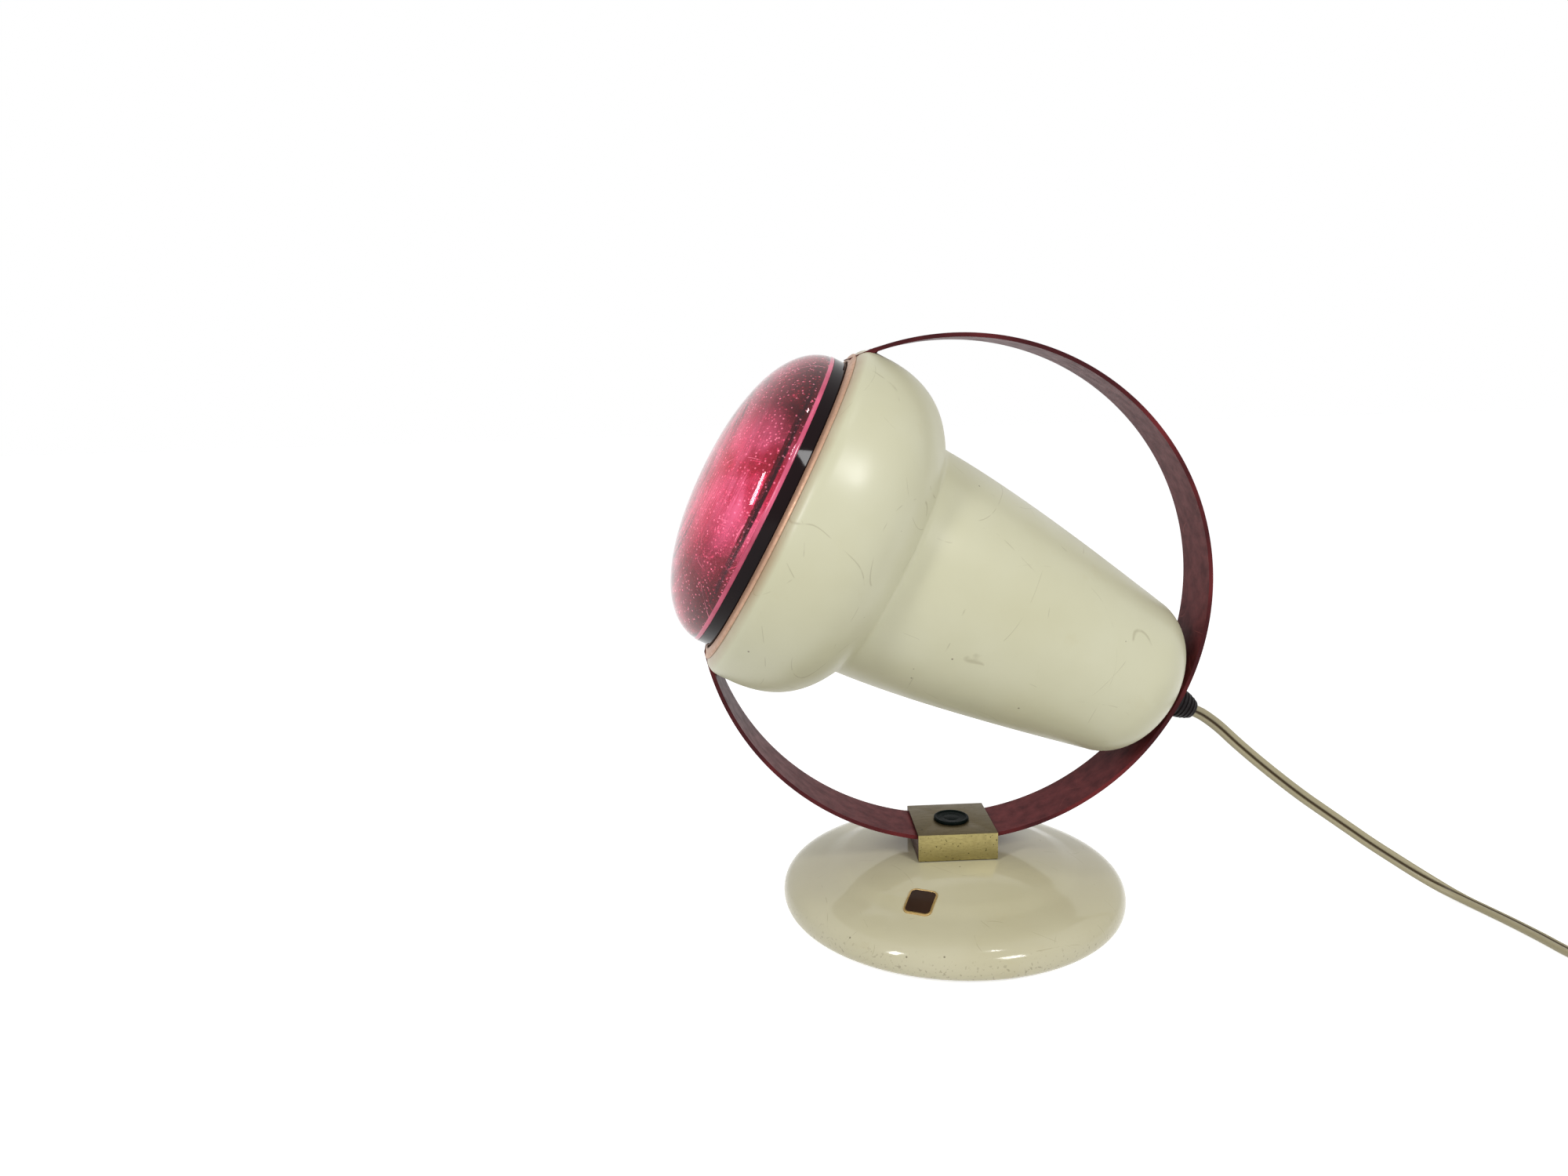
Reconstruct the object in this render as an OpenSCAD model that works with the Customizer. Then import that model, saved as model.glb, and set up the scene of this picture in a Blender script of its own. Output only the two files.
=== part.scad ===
// Infrared heat lamp: a round weighted base, a clamp block, a flat steel hoop that slides
// through it, and a spun head with a red bulb in the hoop.
// Millimetres, +Z up. The origin is the middle of the base's underside. The hoop lies in
// the XZ plane, the head faces -X and looks up by head_tilt.
// The lead runs from the tail gland at +X down to the table, to a tied coil and a plug.

/* [Base] */
// Widest radius of the base
base_r = 70; // [62:1:80]
// Height of the flat top of the base
base_top_z = 23.6; // [21:0.2:28]
// Sheet thickness of the base shell
base_wall = 1.2; // [0.8:0.1:1.6]
// Radius of the flat seat under the clamp
base_flat_r = 20; // [17:0.5:23]
// Radius of the soft step between dome and brim
base_step_r = 47; // [42:1:50]
// Height of the base at the soft step
base_step_z = 18.8; // [17.5:0.1:19.5]
// Drop of the soft step
base_step_drop = 1.0; // [0.4:0.1:1.6]
// Height of the widest point above the table
base_edge_z = 6; // [5:0.5:7]
// Radius of the turned-in foot edge
base_foot_r = 65; // [58:0.5:66]
// Thickness of the felt pad
pad_t = 2; // [1.5:0.1:3]
// Radius of the felt pad
pad_r = 62; // [50:1:63]
// Radius of the cast weight
weight_r = 57; // [45:1:58]
// Length of the plain badge, outward over the soft step
badge_l = 13; // [9:0.5:15]
// Width of the plain badge
badge_w = 11; // [7:0.5:13]
// Radius of the badge's corners
badge_corner = 2.5; // [1:0.5:3]
// Thickness of the badge
badge_t = 0.5; // [0.3:0.1:0.8]
// Distance of the badge from the middle of the base
badge_dist = 45; // [34:0.5:50]
// Direction of the badge seen from above
badge_az = 245; // [200:1:300]

/* [Clamp] */
// Length of the clamp block along the hoop
clamp_l = 32; // [28:0.5:36]
// Width of the side walls beside the hoop
clamp_side = 3; // [2:0.2:4]
// Height of the clamp block
clamp_h = 11; // [10.4:0.1:13]
// Thickness of the roof over the hoop
roof_t = 2.4; // [1.8:0.1:2.8]
// Thickness of the floor of the spring pocket
clamp_floor = 2.5; // [2:0.1:2.8]
// Radius of the spring pocket
pocket_r = 9; // [8:0.1:10]
// Thickness of the washer the clamp turns on
swivel_t = 0.3; // [0.2:0.1:0.6]
// Radius of the washer the clamp turns on
swivel_r = 12; // [9:0.5:15]
// Radius of the black friction button
button_r = 7.15; // [6:0.05:8]
// Height of the black friction button
button_h = 1.3; // [0.9:0.1:2]
// Radius of the button's stem
stem_r = 5; // [3.5:0.1:5.5]
// Radius of the pivot stud
stud_r = 4; // [3:0.1:5]
// Radius of the stud's head in the pocket
stud_head_r = 7; // [6:0.1:7.6]
// Height of the stud's head
stud_head_h = 1.5; // [1.2:0.1:1.6]
// Thickness of the friction pad under the hoop
fric_pad_t = 1.6; // [1.2:0.1:1.7]
// Width across flats of the pivot nut
nut_af = 13; // [11:0.5:15]
// Height of the pivot nut
nut_h = 5; // [4:0.2:5.6]
// Thickness of the spring washer
spring_washer_t = 1.4; // [1:0.1:1.8]

/* [Hoop] */
// Outer radius of the hoop
hoop_r = 100; // [98:0.5:104]
// Width of the strip
hoop_w = 26; // [23:0.5:28]
// Thickness of the strip
hoop_t = 1.6; // [1.2:0.1:2]
// Upward tilt of the head
head_tilt = 28; // [22:1:34]
// Width of each end tab
tab_w = 6; // [4:0.5:7]
// Distance of each end tab from the middle of the strip
tab_y = 7; // [5:0.5:8]
// Thickness of the push-on clips
clip_t = 1; // [0.6:0.1:1.2]

/* [Shade] */
// Sheet thickness of the shade
shade_wall = 0.9; // [0.7:0.1:1.2]
// Largest radius of the shade
shade_r = 69.2; // [68:0.2:70]
// Distance from the hoop centre forward to the front edge
lip_s = 77; // [76:0.5:80]
// Radius of the pinched waist
waist_r = 48.6; // [44:0.2:52]
// Distance from the hoop centre forward to the waist
waist_s = 29; // [24:0.5:33]
// Radius of the rear body where the tail rounds off
tail_r = 33; // [28:0.5:36]
// Length of the rounded tail
tail_round = 18.6; // [14:0.2:22]
// Inner radius of the bronze rim
mouth_r = 61.3; // [61:0.1:62.4]
// Sheet thickness of the bronze rim
rim_t = 0.8; // [0.6:0.1:1]
// Width of the bronze rim's front face
rim_face = 3.9; // [3:0.1:4.6]
// Depth of the bronze rim's sleeve
rim_depth = 7; // [5:0.5:8]

/* [Bulb] */
// Radius of the bulb at its seam
bulb_r = 60.5; // [59.5:0.1:60.8]
// How far the seam stands in front of the shade
bulb_proud = 5.8; // [4:0.2:8]
// Height of the lens dome
lens_h = 27; // [20:0.5:30]
// Glass thickness
glass_t = 2.5; // [1.8:0.1:3]
// Depth of the straight band behind the seam
band_h = 11; // [9:0.5:13]
// Length of the bulb behind its seam
bulb_len = 105; // [103:0.5:110]
// Radius of the bulb's neck
neck_r = 17; // [15:0.5:18]
// Radius of the screw cap
cap_r = 13.1; // [12.6:0.1:13.4]
// Length of the screw cap
cap_len = 24; // [22:0.5:25]

/* [Holder] */
// Outer radius of the lampholder
holder_r = 20; // [18:0.5:22]
// Depth from the bulb's tip back to the holder's end
holder_back = 30; // [28:0.5:32]
// How far the holder covers the screw cap
holder_cover = 23; // [21:0.5:24]
// Length of the threaded shell in the holder
shell_len = 19; // [17:0.5:20]
// Sheet thickness of the threaded shell
shell_t = 0.5; // [0.3:0.1:0.7]
// Thickness of the holder's rear wall
holder_floor = 10; // [8:0.5:12]
// Radius of the wire chamber in the holder
chamber_r = 8; // [7.6:0.1:9]
// Depth of the socket behind the bulb's tip
socket_depth = 4; // [3:0.2:5]
// Radius of the threaded tail tube
nipple_r = 5; // [4.5:0.1:5.5]
// Bore radius of the threaded tail tube
nipple_bore = 3.3; // [3.1:0.1:3.6]
// Width across flats of the tail nut
tail_nut_af = 15; // [13:0.5:17]
// Height of the tail nut
tail_nut_h = 4; // [3:0.2:5]
// Radius of the washer between shade and hoop
tail_washer_r = 7; // [6:0.5:8]
// Thickness of the washer between shade and hoop
tail_washer_t = 0.5; // [0.4:0.1:0.8]
// Radius of the gland
gland_r = 6.6; // [6.2:0.1:7.6]
// Length of the gland
gland_len = 12; // [11:0.2:14]
// Radius of the gland's tip
gland_tip_r = 4.2; // [3:0.1:5]

/* [Lead] */
// Width of the flat twin lead
cord_w = 5; // [4.4:0.1:5.2]
// Thickness of the flat twin lead
cord_t = 3; // [2.4:0.1:3.1]
// Width of the coil's tie
tie_w = 6; // [4:0.5:9]
// Thickness of the coil's tie
tie_t = 0.8; // [0.5:0.1:0.9]
// Width of the plug
plug_w = 27; // [25:0.5:32]
// Height of the plug
plug_h = 14; // [12:0.5:16]
// Length of the plug without its sleeve
plug_l = 28; // [24:0.5:34]
// Radius of a plug pin
pin_r = 2; // [1.8:0.1:2.4]
// Free length of a plug pin
pin_l = 19; // [17:0.5:20]
// Radius of a pin's root inside the plug
pin_root_r = 1.6; // [1.2:0.1:1.7]
// Length of a pin's root inside the plug
pin_root_l = 7.9; // [6:0.1:9]
// Distance between the pins
pin_gap = 19; // [18:0.5:20]

/* [Hidden] */
$fn = 96;

fit = 0.05;        // radial clearance of a snug pin, thread or stem
run = 0.15;        // clearance of the hoop in its slot and of the tabs in theirs
seat = 0.2;        // clearance under a part that only rests
turn_gap = 0.1;    // running gap between flat faces that turn on each other

cream = [0.80, 0.80, 0.70];
oxblood = [0.38, 0.17, 0.18];
brass = [0.62, 0.55, 0.34];
steel = [0.66, 0.66, 0.66];
black = [0.07, 0.07, 0.07];
ivory = [0.85, 0.82, 0.72];

// ---- curves ----
// Points of a cubic curve, without its first point
function bez(a, b, c, d, n = 10) = [for (i = [1:n]) let (t = i / n, u = 1 - t)
  a * pow(u, 3) + 3 * b * u * u * t + 3 * c * u * t * t + d * pow(t, 3)];
function unit(v) = v / norm(v);
// The same profile moved sideways by w, to the left of its direction
function inset(p, w) = [for (i = [0:len(p) - 1])
  let (t = unit(p[min(i + 1, len(p) - 1)] - p[max(i - 1, 0)])) p[i] + w * [-t[1], t[0]]];
function back(p) = [for (i = [len(p) - 1:-1:0]) p[i]];
function wall(p, w) = concat(p, back(inset(p, w)));

// ---- base and clamp heights ----
hoop_ri = hoop_r - hoop_t;
clamp_z = base_top_z + swivel_t + turn_gap;
clamp_top = clamp_z + clamp_h;
clamp_w = hoop_w + 2 * clamp_side;
strip_z = clamp_top - roof_t;            // inner face of the hoop at its lowest point
hoop_cz = strip_z + hoop_ri;             // centre of the hoop
pocket_z = clamp_z + clamp_floor;
weight_z = pad_t + seat;
nut_pocket_r = nut_af / sqrt(3) + 1.5;
nut_z = weight_z + 0.4;
nut_pocket_top = nut_z + nut_h + spring_washer_t + turn_gap;

// Outer profile of the base, from its flat seat out and down to the foot
rim_in = [base_step_r + 4, base_step_z - base_step_drop - 0.7];
base_profile = concat(
  [[stud_r + 0.6, base_top_z], [base_flat_r, base_top_z]],
  bez([base_flat_r, base_top_z], [base_flat_r + 8, base_top_z - 0.2],
      [base_step_r - 9, base_step_z + 2], [base_step_r, base_step_z], 10),
  bez([base_step_r, base_step_z], [base_step_r + 1, base_step_z - 0.3],
      [base_step_r + 1.6, rim_in[1] + 0.4], rim_in, 5),
  bez(rim_in, [base_r - 8, rim_in[1] - 2.2], [base_r, rim_in[1] - 4], [base_r, base_edge_z], 12),
  bez([base_r, base_edge_z], [base_r, base_edge_z / 2], [base_r - 1.5, 1], [base_foot_r, 0.6], 7));

// ---- head, along its own axis: s runs forward from the hoop centre ----
tab_root = 1;                            // length of each end tab outside the shade
hoop_rm = hoop_ri + hoop_t / 2;          // middle of the strip's thickness
tab_s = sqrt(pow(hoop_rm, 2) - pow(shade_r + tab_root / 2, 2));  // where the strip meets the shade
hoop_end_a = asin((shade_r - tab_root) / hoop_rm);  // each end of the strip, from the forward axis
tail_s = hoop_ri - tail_washer_t - 2 * run;  // rear end of the shade
seam_s = lip_s + bulb_proud;
tip_s = seam_s - bulb_len;               // tip of the bulb's contact
cap_s = tip_s + 2.2;                     // rear end of the screw cap
holder_s = tip_s - holder_back;          // rear end of the lampholder
lap = 0.1;                               // overlap of two cuts that join
chamber_s = holder_s + holder_floor;     // rear end of its wire chamber
chamber_end = tip_s - holder_floor - lap;  // front end of its wire chamber
socket_s = tip_s - socket_depth;         // floor of its socket
lip_r = mouth_r + rim_t + 0.3;           // edge of the shade inside the bronze rim
tail_flat = tail_nut_af / sqrt(3) + 0.2;   // flat land that the tail nut sits on
cone_soft = 34;                          // how far behind the waist the cone starts to close in
bulge_soft = 32;                         // how far behind the lip the bulge is fullest

// Outer profile of the shade, from the tail tube's hole forward to the lip
shade_profile = concat(
  [[nipple_r + fit, -tail_s], [tail_flat, -tail_s]],
  bez([tail_flat, -tail_s], [tail_flat + 9, -tail_s + 1.1], [tail_r - 3, -tail_s + 7.1],
      [tail_r, -tail_s + tail_round], 6),
  bez([tail_r, -tail_s + tail_round], [tail_r + 5, -tail_s + tail_round + 27],
      [waist_r - 1.6, waist_s - cone_soft], [waist_r, waist_s - 1], 5),
  bez([waist_r, waist_s - 1], [waist_r + 0.2, waist_s + 0.5],
      [waist_r + 0.7, waist_s + 1.1], [waist_r + 2, waist_s + 1.9], 2),
  bez([waist_r + 2, waist_s + 1.9], [waist_r + 11.4, waist_s + 7.5],
      [shade_r - 0.6, lip_s - bulge_soft], [shade_r, lip_s - 14], 7),
  [[shade_r, lip_s - 7.5]],
  bez([shade_r, lip_s - 7.5], [shade_r, lip_s - 3.2], [shade_r - 2.2, lip_s - 0.6],
      [lip_r, lip_s], 5));

// Outer profile of the bulb's rear part, from the seam back into the cap
neck_in = cap_r - 1.5;
reflector_profile = concat(
  [[bulb_r, seam_s], [bulb_r, seam_s - band_h]],
  bez([bulb_r, seam_s - band_h], [bulb_r - 5, seam_s - band_h - 30],
      [neck_r + 14, cap_s + cap_len + 16], [neck_r, cap_s + cap_len + 8], 14),
  bez([neck_r, cap_s + cap_len + 8], [neck_r - 1, cap_s + cap_len + 4],
      [neck_in + 2, cap_s + cap_len + 1.5], [neck_in, cap_s + cap_len + 0.2], 5),
  [[neck_in, cap_s + 12]]);
lens_profile = concat([[bulb_r, seam_s]],
  bez([bulb_r, seam_s], [bulb_r - 1.5, seam_s + lens_h * 0.6],
      [bulb_r * 0.62, seam_s + lens_h], [0, seam_s + lens_h], 16));

// ---- lead ----
gland_s = hoop_r + gland_len + 0.1;
head_dir = [-cos(head_tilt), 0, sin(head_tilt)];
lead_start = [0, 0, hoop_cz] - (gland_s + turn_gap) * head_dir;
lead_route = [
  [110, 0, 71], [118, 0, 63.5], [127, 0, 55.5], [136.5, -0.5, 47.5],
  [146.5, -1, 39.5], [156, -1.5, 32.5], [165, -3, 26], [174, -5, 19.5], [183, -8, 13.5],
  [191.5, -11.5, 8], [198.5, -16.5, 4], [203.5, -23.5, 2], [207, -32, 1.5],
  [210, -42, 1.5], [213, -54, 1.5], [215.5, -66, 1.5], [219, -77, 1.8],
  [223, -86, 2.5], [225.5, -92, 3.2]];
coil_c = [262, -104];      // middle of the coil
coil_turns = 4.25;         // turns in each of its two layers
coil_pitch = 3.5;          // from turn to turn
coil_rise = 5.5;           // from layer to layer
coil_out = 36;             // radius of the outermost turn
coil_z = 0.9 + cord_w / 2; // height of the lower layer
coil_in = coil_out - coil_pitch * coil_turns;
coil_start = [coil_c[0] - coil_out, coil_c[1], coil_z];
lead_end = coil_start + [0, cord_w + 1, 0];
lead_pts = concat([lead_start, lead_start - 5 * head_dir], lead_route,
  [lead_end + [0, 5, 0], lead_end]);
// The flat side faces the front, then up, and stands on edge in the coil
function lead_side(u) = u < 0.40 ? [0.5, 0, 0.87]
  : u < 0.6 ? [0.5 + 2.5 * (u - 0.4), 0.2, 0.87 - 4.35 * (u - 0.4)]
  : u < 0.78 ? [1, 0.2, 0]
  : [1 - 4.5 * (u - 0.78), 0.2 - 0.9 * (u - 0.78), 4.5 * (u - 0.78)];

// Both layers wind the same way round: inward below, outward above
coil_a = 15;               // degrees from ring to ring
coil_n = coil_turns * 360 / coil_a;
function coil_r_at(i) = coil_out - coil_pitch * coil_a / 360 * (i <= coil_n ? i : 2 * coil_n - i);
function coil_z_at(i) = coil_z + coil_rise * min(1, max(0, (i - coil_n) * coil_a / 180 + 0.5));
plug_x = coil_c[0] + coil_out;
plug_z = plug_h / 2;
plug_y = coil_c[1] + 26;   // rear end of the plug's sleeve
coil_pts = concat([lead_end],
  [for (i = [0:2 * coil_n]) let (a = 180 + i * coil_a)
    [coil_c[0] + coil_r_at(i) * cos(a), coil_c[1] + coil_r_at(i) * sin(a), coil_z_at(i)]],
  [[plug_x, coil_c[1] + 6, coil_z + coil_rise - 0.3], [plug_x, coil_c[1] + 13, plug_z + 0.6],
   [plug_x, plug_y - 6, plug_z], [plug_x, plug_y, plug_z]]);

// One ring of an oval tube at p, running along t, its width along side
function oval(p, t, side, a, b, n) = let (w = unit(side - (side * t) * t), q = cross(t, w))
  [for (k = [0:n - 1]) p + a * cos(360 * k / n) * w + b * sin(360 * k / n) * q];
function dirs(p) = [for (i = [0:len(p) - 1]) unit(p[min(i + 1, len(p) - 1)] - p[max(i - 1, 0)])];
function rings(p, sides, a, b, n) = let (d = dirs(p))
  [for (i = [0:len(p) - 1]) oval(p[i], d[i], sides[i], a, b, n)];
module sweep(rr) {
  n = len(rr[0]);
  m = len(rr);
  polyhedron(points = [for (r = rr) each r], faces = concat(
    [for (k = [1:n - 2]) [0, k, k + 1]],
    [for (k = [1:n - 2]) [(m - 1) * n, (m - 1) * n + k + 1, (m - 1) * n + k]],
    [for (i = [0:m - 2], k = [0:n - 1]) let (j = (k + 1) % n) [i * n + k, (i + 1) * n + k, (i + 1) * n + j]],
    [for (i = [0:m - 2], k = [0:n - 1]) let (j = (k + 1) % n) [i * n + k, (i + 1) * n + j, i * n + j]]));
}
lead_rings = rings(lead_pts, [for (i = [0:len(lead_pts) - 1]) lead_side(i / (len(lead_pts) - 1))],
  cord_w / 2, cord_t / 2, 8);
coil_rings = rings(coil_pts, [for (p = coil_pts) [0, 0, 1]], cord_w / 2, cord_t / 2, 6);
// Least gap of the coil to itself, between rings at least two thirds of a turn apart
coil_gap = min([for (i = [0:len(coil_pts) - 1], j = [i + 16:1:len(coil_pts) - 1])
  if (norm(coil_pts[i] - coil_pts[j]) < 7) min([for (p = coil_rings[i], q = coil_rings[j]) norm(p - q)])]);
function run_len(p) = let (s = [for (i = [1:len(p) - 1]) norm(p[i] - p[i - 1])]) s * [for (x = s) 1];
echo(coil_gap = coil_gap, lead_mm = run_len(lead_pts), coil_mm = run_len(coil_pts));  // cord_coil

// ---- frames ----
// The head's own frame: Z forward along its axis, X up, Y across
module on_head() { translate([0, 0, hoop_cz]) rotate([0, head_tilt - 90, 0]) children(); }
// A tube along the head's axis between two distances
module ring_s(s0, s1, r0, r1) {
  translate([0, 0, s0]) difference() {
    cylinder(r = r1, h = s1 - s0);
    if (r0 > 0) translate([0, 0, -1]) cylinder(r = r0, h = s1 - s0 + 2);
  }
}
// The strip's path as a full ring, grown by c all round
module strip(c = 0) {
  rotate([90, 0, 0]) rotate_extrude($fn = 180)
    translate([hoop_ri - c, -hoop_w / 2 - c]) square([hoop_t + 2 * c, hoop_w + 2 * c]);
}
module hex(af, h) { cylinder(r = af / sqrt(3), h = h, $fn = 6); }

// ---- base ----
module base_shell() {
  color(cream) rotate_extrude($fn = 144) polygon(wall(base_profile, -base_wall));
}
module base_weight() {
  top = [for (p = inset(base_profile, -base_wall - 0.5)) if (p[0] < weight_r && p[0] > nut_pocket_r) p];
  roof = base_top_z - base_wall - turn_gap;
  color(steel) difference() {
    rotate_extrude() polygon(concat([[0, weight_z], [weight_r, weight_z],
      [weight_r, top[len(top) - 1][1] - 1]], back(top), [[nut_pocket_r, roof], [0, roof]]));
    translate([0, 0, -1]) cylinder(r = stud_r + 0.08, h = base_top_z + 2);
    translate([0, 0, -1]) cylinder(r = nut_pocket_r, h = nut_pocket_top + 1);
  }
}
module base_pad() {
  color([0.16, 0.17, 0.15]) cylinder(r = pad_r, h = pad_t);
}
// The badge is a thin plate that follows the dome, cut to a rounded oblong
module badge() {
  glue = 0.1;                // gap to the dome, filled by adhesive
  dome = [for (p = base_profile) if (p[0] >= base_flat_r && p[1] > base_edge_z) p];
  x = badge_l / 2;
  y = badge_w / 2;
  color([0.25, 0.12, 0.08]) intersection() {
    rotate_extrude($fn = 144) polygon(concat([for (p = dome) p + [0, glue]],
      back([for (p = dome) p + [0, glue + badge_t]])));
    rotate([0, 0, badge_az]) translate([badge_dist, 0, 0]) linear_extrude(height = base_top_z + 5) union() {
      translate([-x + badge_corner, -y]) square([badge_l - 2 * badge_corner, badge_w]);
      translate([-x, -y + badge_corner]) square([badge_l, badge_w - 2 * badge_corner]);
      for (i = [-1, 1], k = [-1, 1])
        translate([i * (x - badge_corner), k * (y - badge_corner)]) circle(r = badge_corner);
    }
  }
}
module swivel_washer() {
  color([0.5, 0.25, 0.15]) translate([0, 0, base_top_z]) difference() {
    cylinder(r = swivel_r, h = swivel_t);
    translate([0, 0, -1]) cylinder(r = stud_r + 0.3, h = swivel_t + 2);
  }
}

// ---- clamp ----
module clamp_block() {
  color(brass) difference() {
    translate([-clamp_l / 2, -clamp_w / 2, clamp_z]) cube([clamp_l, clamp_w, clamp_h]);
    translate([0, 0, hoop_cz]) strip(run);
    translate([0, 0, clamp_z - 1]) cylinder(r = stud_r + fit, h = clamp_h);
    translate([0, 0, pocket_z]) cylinder(r = pocket_r, h = strip_z - pocket_z - hoop_t / 2);
    translate([0, 0, strip_z - hoop_t / 2]) cylinder(r = stem_r + fit, h = clamp_h);
  }
}
module friction_button() {
  color(black) translate([0, 0, clamp_top]) {
    rotate_extrude() polygon([[0, 0], [button_r, 0], [button_r, button_h - 0.4],
      [button_r - 0.4, button_h], [button_r - 1.1, button_h], [button_r - 1.7, button_h - 0.5],
      [0, button_h - 0.5]]);
    translate([0, 0, 0.3 - roof_t]) cylinder(r = stem_r, h = roof_t);
  }
}
pad_top = strip_z - hoop_t - run;
module friction_pad() {
  color([0.45, 0.3, 0.2]) translate([0, 0, pad_top - fric_pad_t])
    cylinder(r = pocket_r - 0.3, h = fric_pad_t);
}
module pressure_spring() {
  z0 = pocket_z + stud_head_h + fit;
  z1 = pad_top - fric_pad_t - fit;
  t = min(0.5, (z1 - z0) / 2);
  color(steel) rotate_extrude()
    polygon([[3, z1 - t], [3, z1], [pocket_r - 0.5, z0 + t], [pocket_r - 0.5, z0]]);
}
module pivot_stud() {
  color(steel) difference() {
    union() {
      translate([0, 0, pocket_z]) cylinder(r = stud_head_r, h = stud_head_h);
      translate([0, 0, nut_z]) cylinder(r = stud_r, h = pocket_z - nut_z + 0.1);
    }
    translate([0, 0, pocket_z + 0.4]) hex(5, 5);
  }
}
module spring_washer() {
  color(steel) translate([0, 0, nut_z + nut_h]) difference() {
    cylinder(r = nut_af / 2 - 0.2, h = spring_washer_t);
    translate([0, 0, -1]) cylinder(r = stud_r + fit, h = spring_washer_t + 2);
  }
}
module pivot_nut() {
  color(steel) translate([0, 0, nut_z]) difference() {
    hex(nut_af, nut_h);
    translate([0, 0, -1]) cylinder(r = stud_r + fit, h = nut_h + 2);
  }
}

// ---- hoop and shade ----
module shade_solid(c) {
  rotate_extrude($fn = 144) polygon(concat([[0, -tail_s - c]], inset(shade_profile, -c), [[0, lip_s + c]]));
}
module tab_boxes(c, x0, x1) {
  for (side = [1, -1], k = [-1, 1])
    translate([side > 0 ? x0 : -x1, k * tab_y - tab_w / 2 - c, tab_s - hoop_t / 2 - c])
      cube([x1 - x0, tab_w + 2 * c, hoop_t + 2 * c]);
}
tab_in = mouth_r + rim_t + 1.2;
module hoop() {
  color(oxblood) on_head() difference() {
    union() {
      difference() {
        rotate([90, 0, 0]) rotate([0, 0, 90 + hoop_end_a])
          rotate_extrude(angle = 360 - 2 * hoop_end_a, $fn = 180)
          translate([hoop_ri, -hoop_w / 2]) square([hoop_t, hoop_w]);
        shade_solid(run);
      }
      tab_boxes(0, tab_in, shade_r + tab_root);
    }
    rotate([180, 0, 0]) cylinder(r = nipple_r + fit, h = hoop_r + 5);
  }
}
clip_x = sqrt(pow(shade_r - shade_wall - 0.9, 2) - pow(tab_y + tab_w / 2 + 1.5, 2)) - 0.3;
module hoop_clips() {
  color(steel) on_head() difference() {
    for (side = [1, -1]) translate([side > 0 ? clip_x - clip_t : -clip_x, -tab_y - tab_w / 2 - 1.5, tab_s - 2.8])
      cube([clip_t, 2 * tab_y + tab_w + 3, 5.2]);
    tab_boxes(fit, tab_in - 2, shade_r + tab_root);
  }
}
module shade() {
  color(cream) on_head() difference() {
    rotate_extrude($fn = 144) polygon(wall(shade_profile, shade_wall));
    tab_boxes(run, tab_in, shade_r + 5);
  }
}
module rim_ring() {
  color([0.58, 0.40, 0.28]) on_head() rotate_extrude($fn = 144) polygon([
    [mouth_r, lip_s - rim_depth], [mouth_r, lip_s + 0.7], [mouth_r + 0.7, lip_s + 1.2],
    [mouth_r + rim_face, lip_s + 0.4], [mouth_r + rim_face + 0.2, lip_s - 0.1],
    [mouth_r + rim_t, lip_s + 0.25], [mouth_r + rim_t, lip_s - rim_depth]]);
}

// ---- bulb ----
module bulb_lens() {
  inner = [for (p = inset(lens_profile, glass_t)) if (p[0] > 0.5) [p[0], max(p[1], seam_s)]];
  color([0.55, 0.04, 0.08]) on_head() rotate_extrude($fn = 144)
    polygon(concat(lens_profile, [[0, seam_s + lens_h - glass_t]], back(inner)));
}
module bulb_reflector() {
  inner = inset(reflector_profile, -glass_t);
  color([0.1, 0.09, 0.1]) on_head() rotate_extrude($fn = 144)
    polygon(concat(reflector_profile, back([for (p = inner) [p[0], min(p[1], seam_s)]])));
}
module bulb_stem() {
  r = neck_in - glass_t - fit;
  color([0.7, 0.8, 0.8]) on_head() union() {
    translate([0, 0, cap_s + 12]) cylinder(r = r, h = 10);
    translate([0, 0, cap_s + 22]) cylinder(r1 = r, r2 = r - 1.8, h = 12);
  }
}
filament_x = neck_in - glass_t - 3.5;
filament_s = seam_s - band_h - 30;
module filament() {
  s0 = cap_s + 34;
  color([0.8, 0.75, 0.6]) on_head() union() {
    for (k = [-1, 1]) translate([k * filament_x, 0, s0]) cylinder(r = 0.6, h = filament_s - s0 + 0.6, $fn = 16);
    translate([-filament_x, 0, filament_s]) rotate([0, 90, 0]) cylinder(r = 1.3, h = 2 * filament_x, $fn = 24);
  }
}
module bulb_cap() {
  turns = 6;
  ridge = [for (i = [0:turns * 4]) [cap_r - 0.35 + 0.35 * sin(i * 90), cap_s + 3 + (cap_len - 6) * i / (turns * 4)]];
  color(brass) on_head() rotate_extrude() polygon(concat(
    [[cap_r - 1.3, cap_s], [cap_r - 0.8, cap_s]], ridge,
    [[cap_r, cap_s + cap_len], [cap_r - 1.3, cap_s + cap_len]]));
}
module cap_insulator() {
  color(black) on_head() rotate_extrude() polygon([[3, tip_s + 0.6], [6, tip_s + 0.6],
    [cap_r - 1.5, cap_s], [cap_r - 1.4, cap_s + 2], [3, cap_s + 2]]);
}
module bulb_contact() {
  color(steel) on_head() union() {
    translate([0, 0, tip_s]) cylinder(r = 4.5, h = 0.6);
    translate([0, 0, tip_s]) cylinder(r = 3 - fit, h = 3);
  }
}

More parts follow.
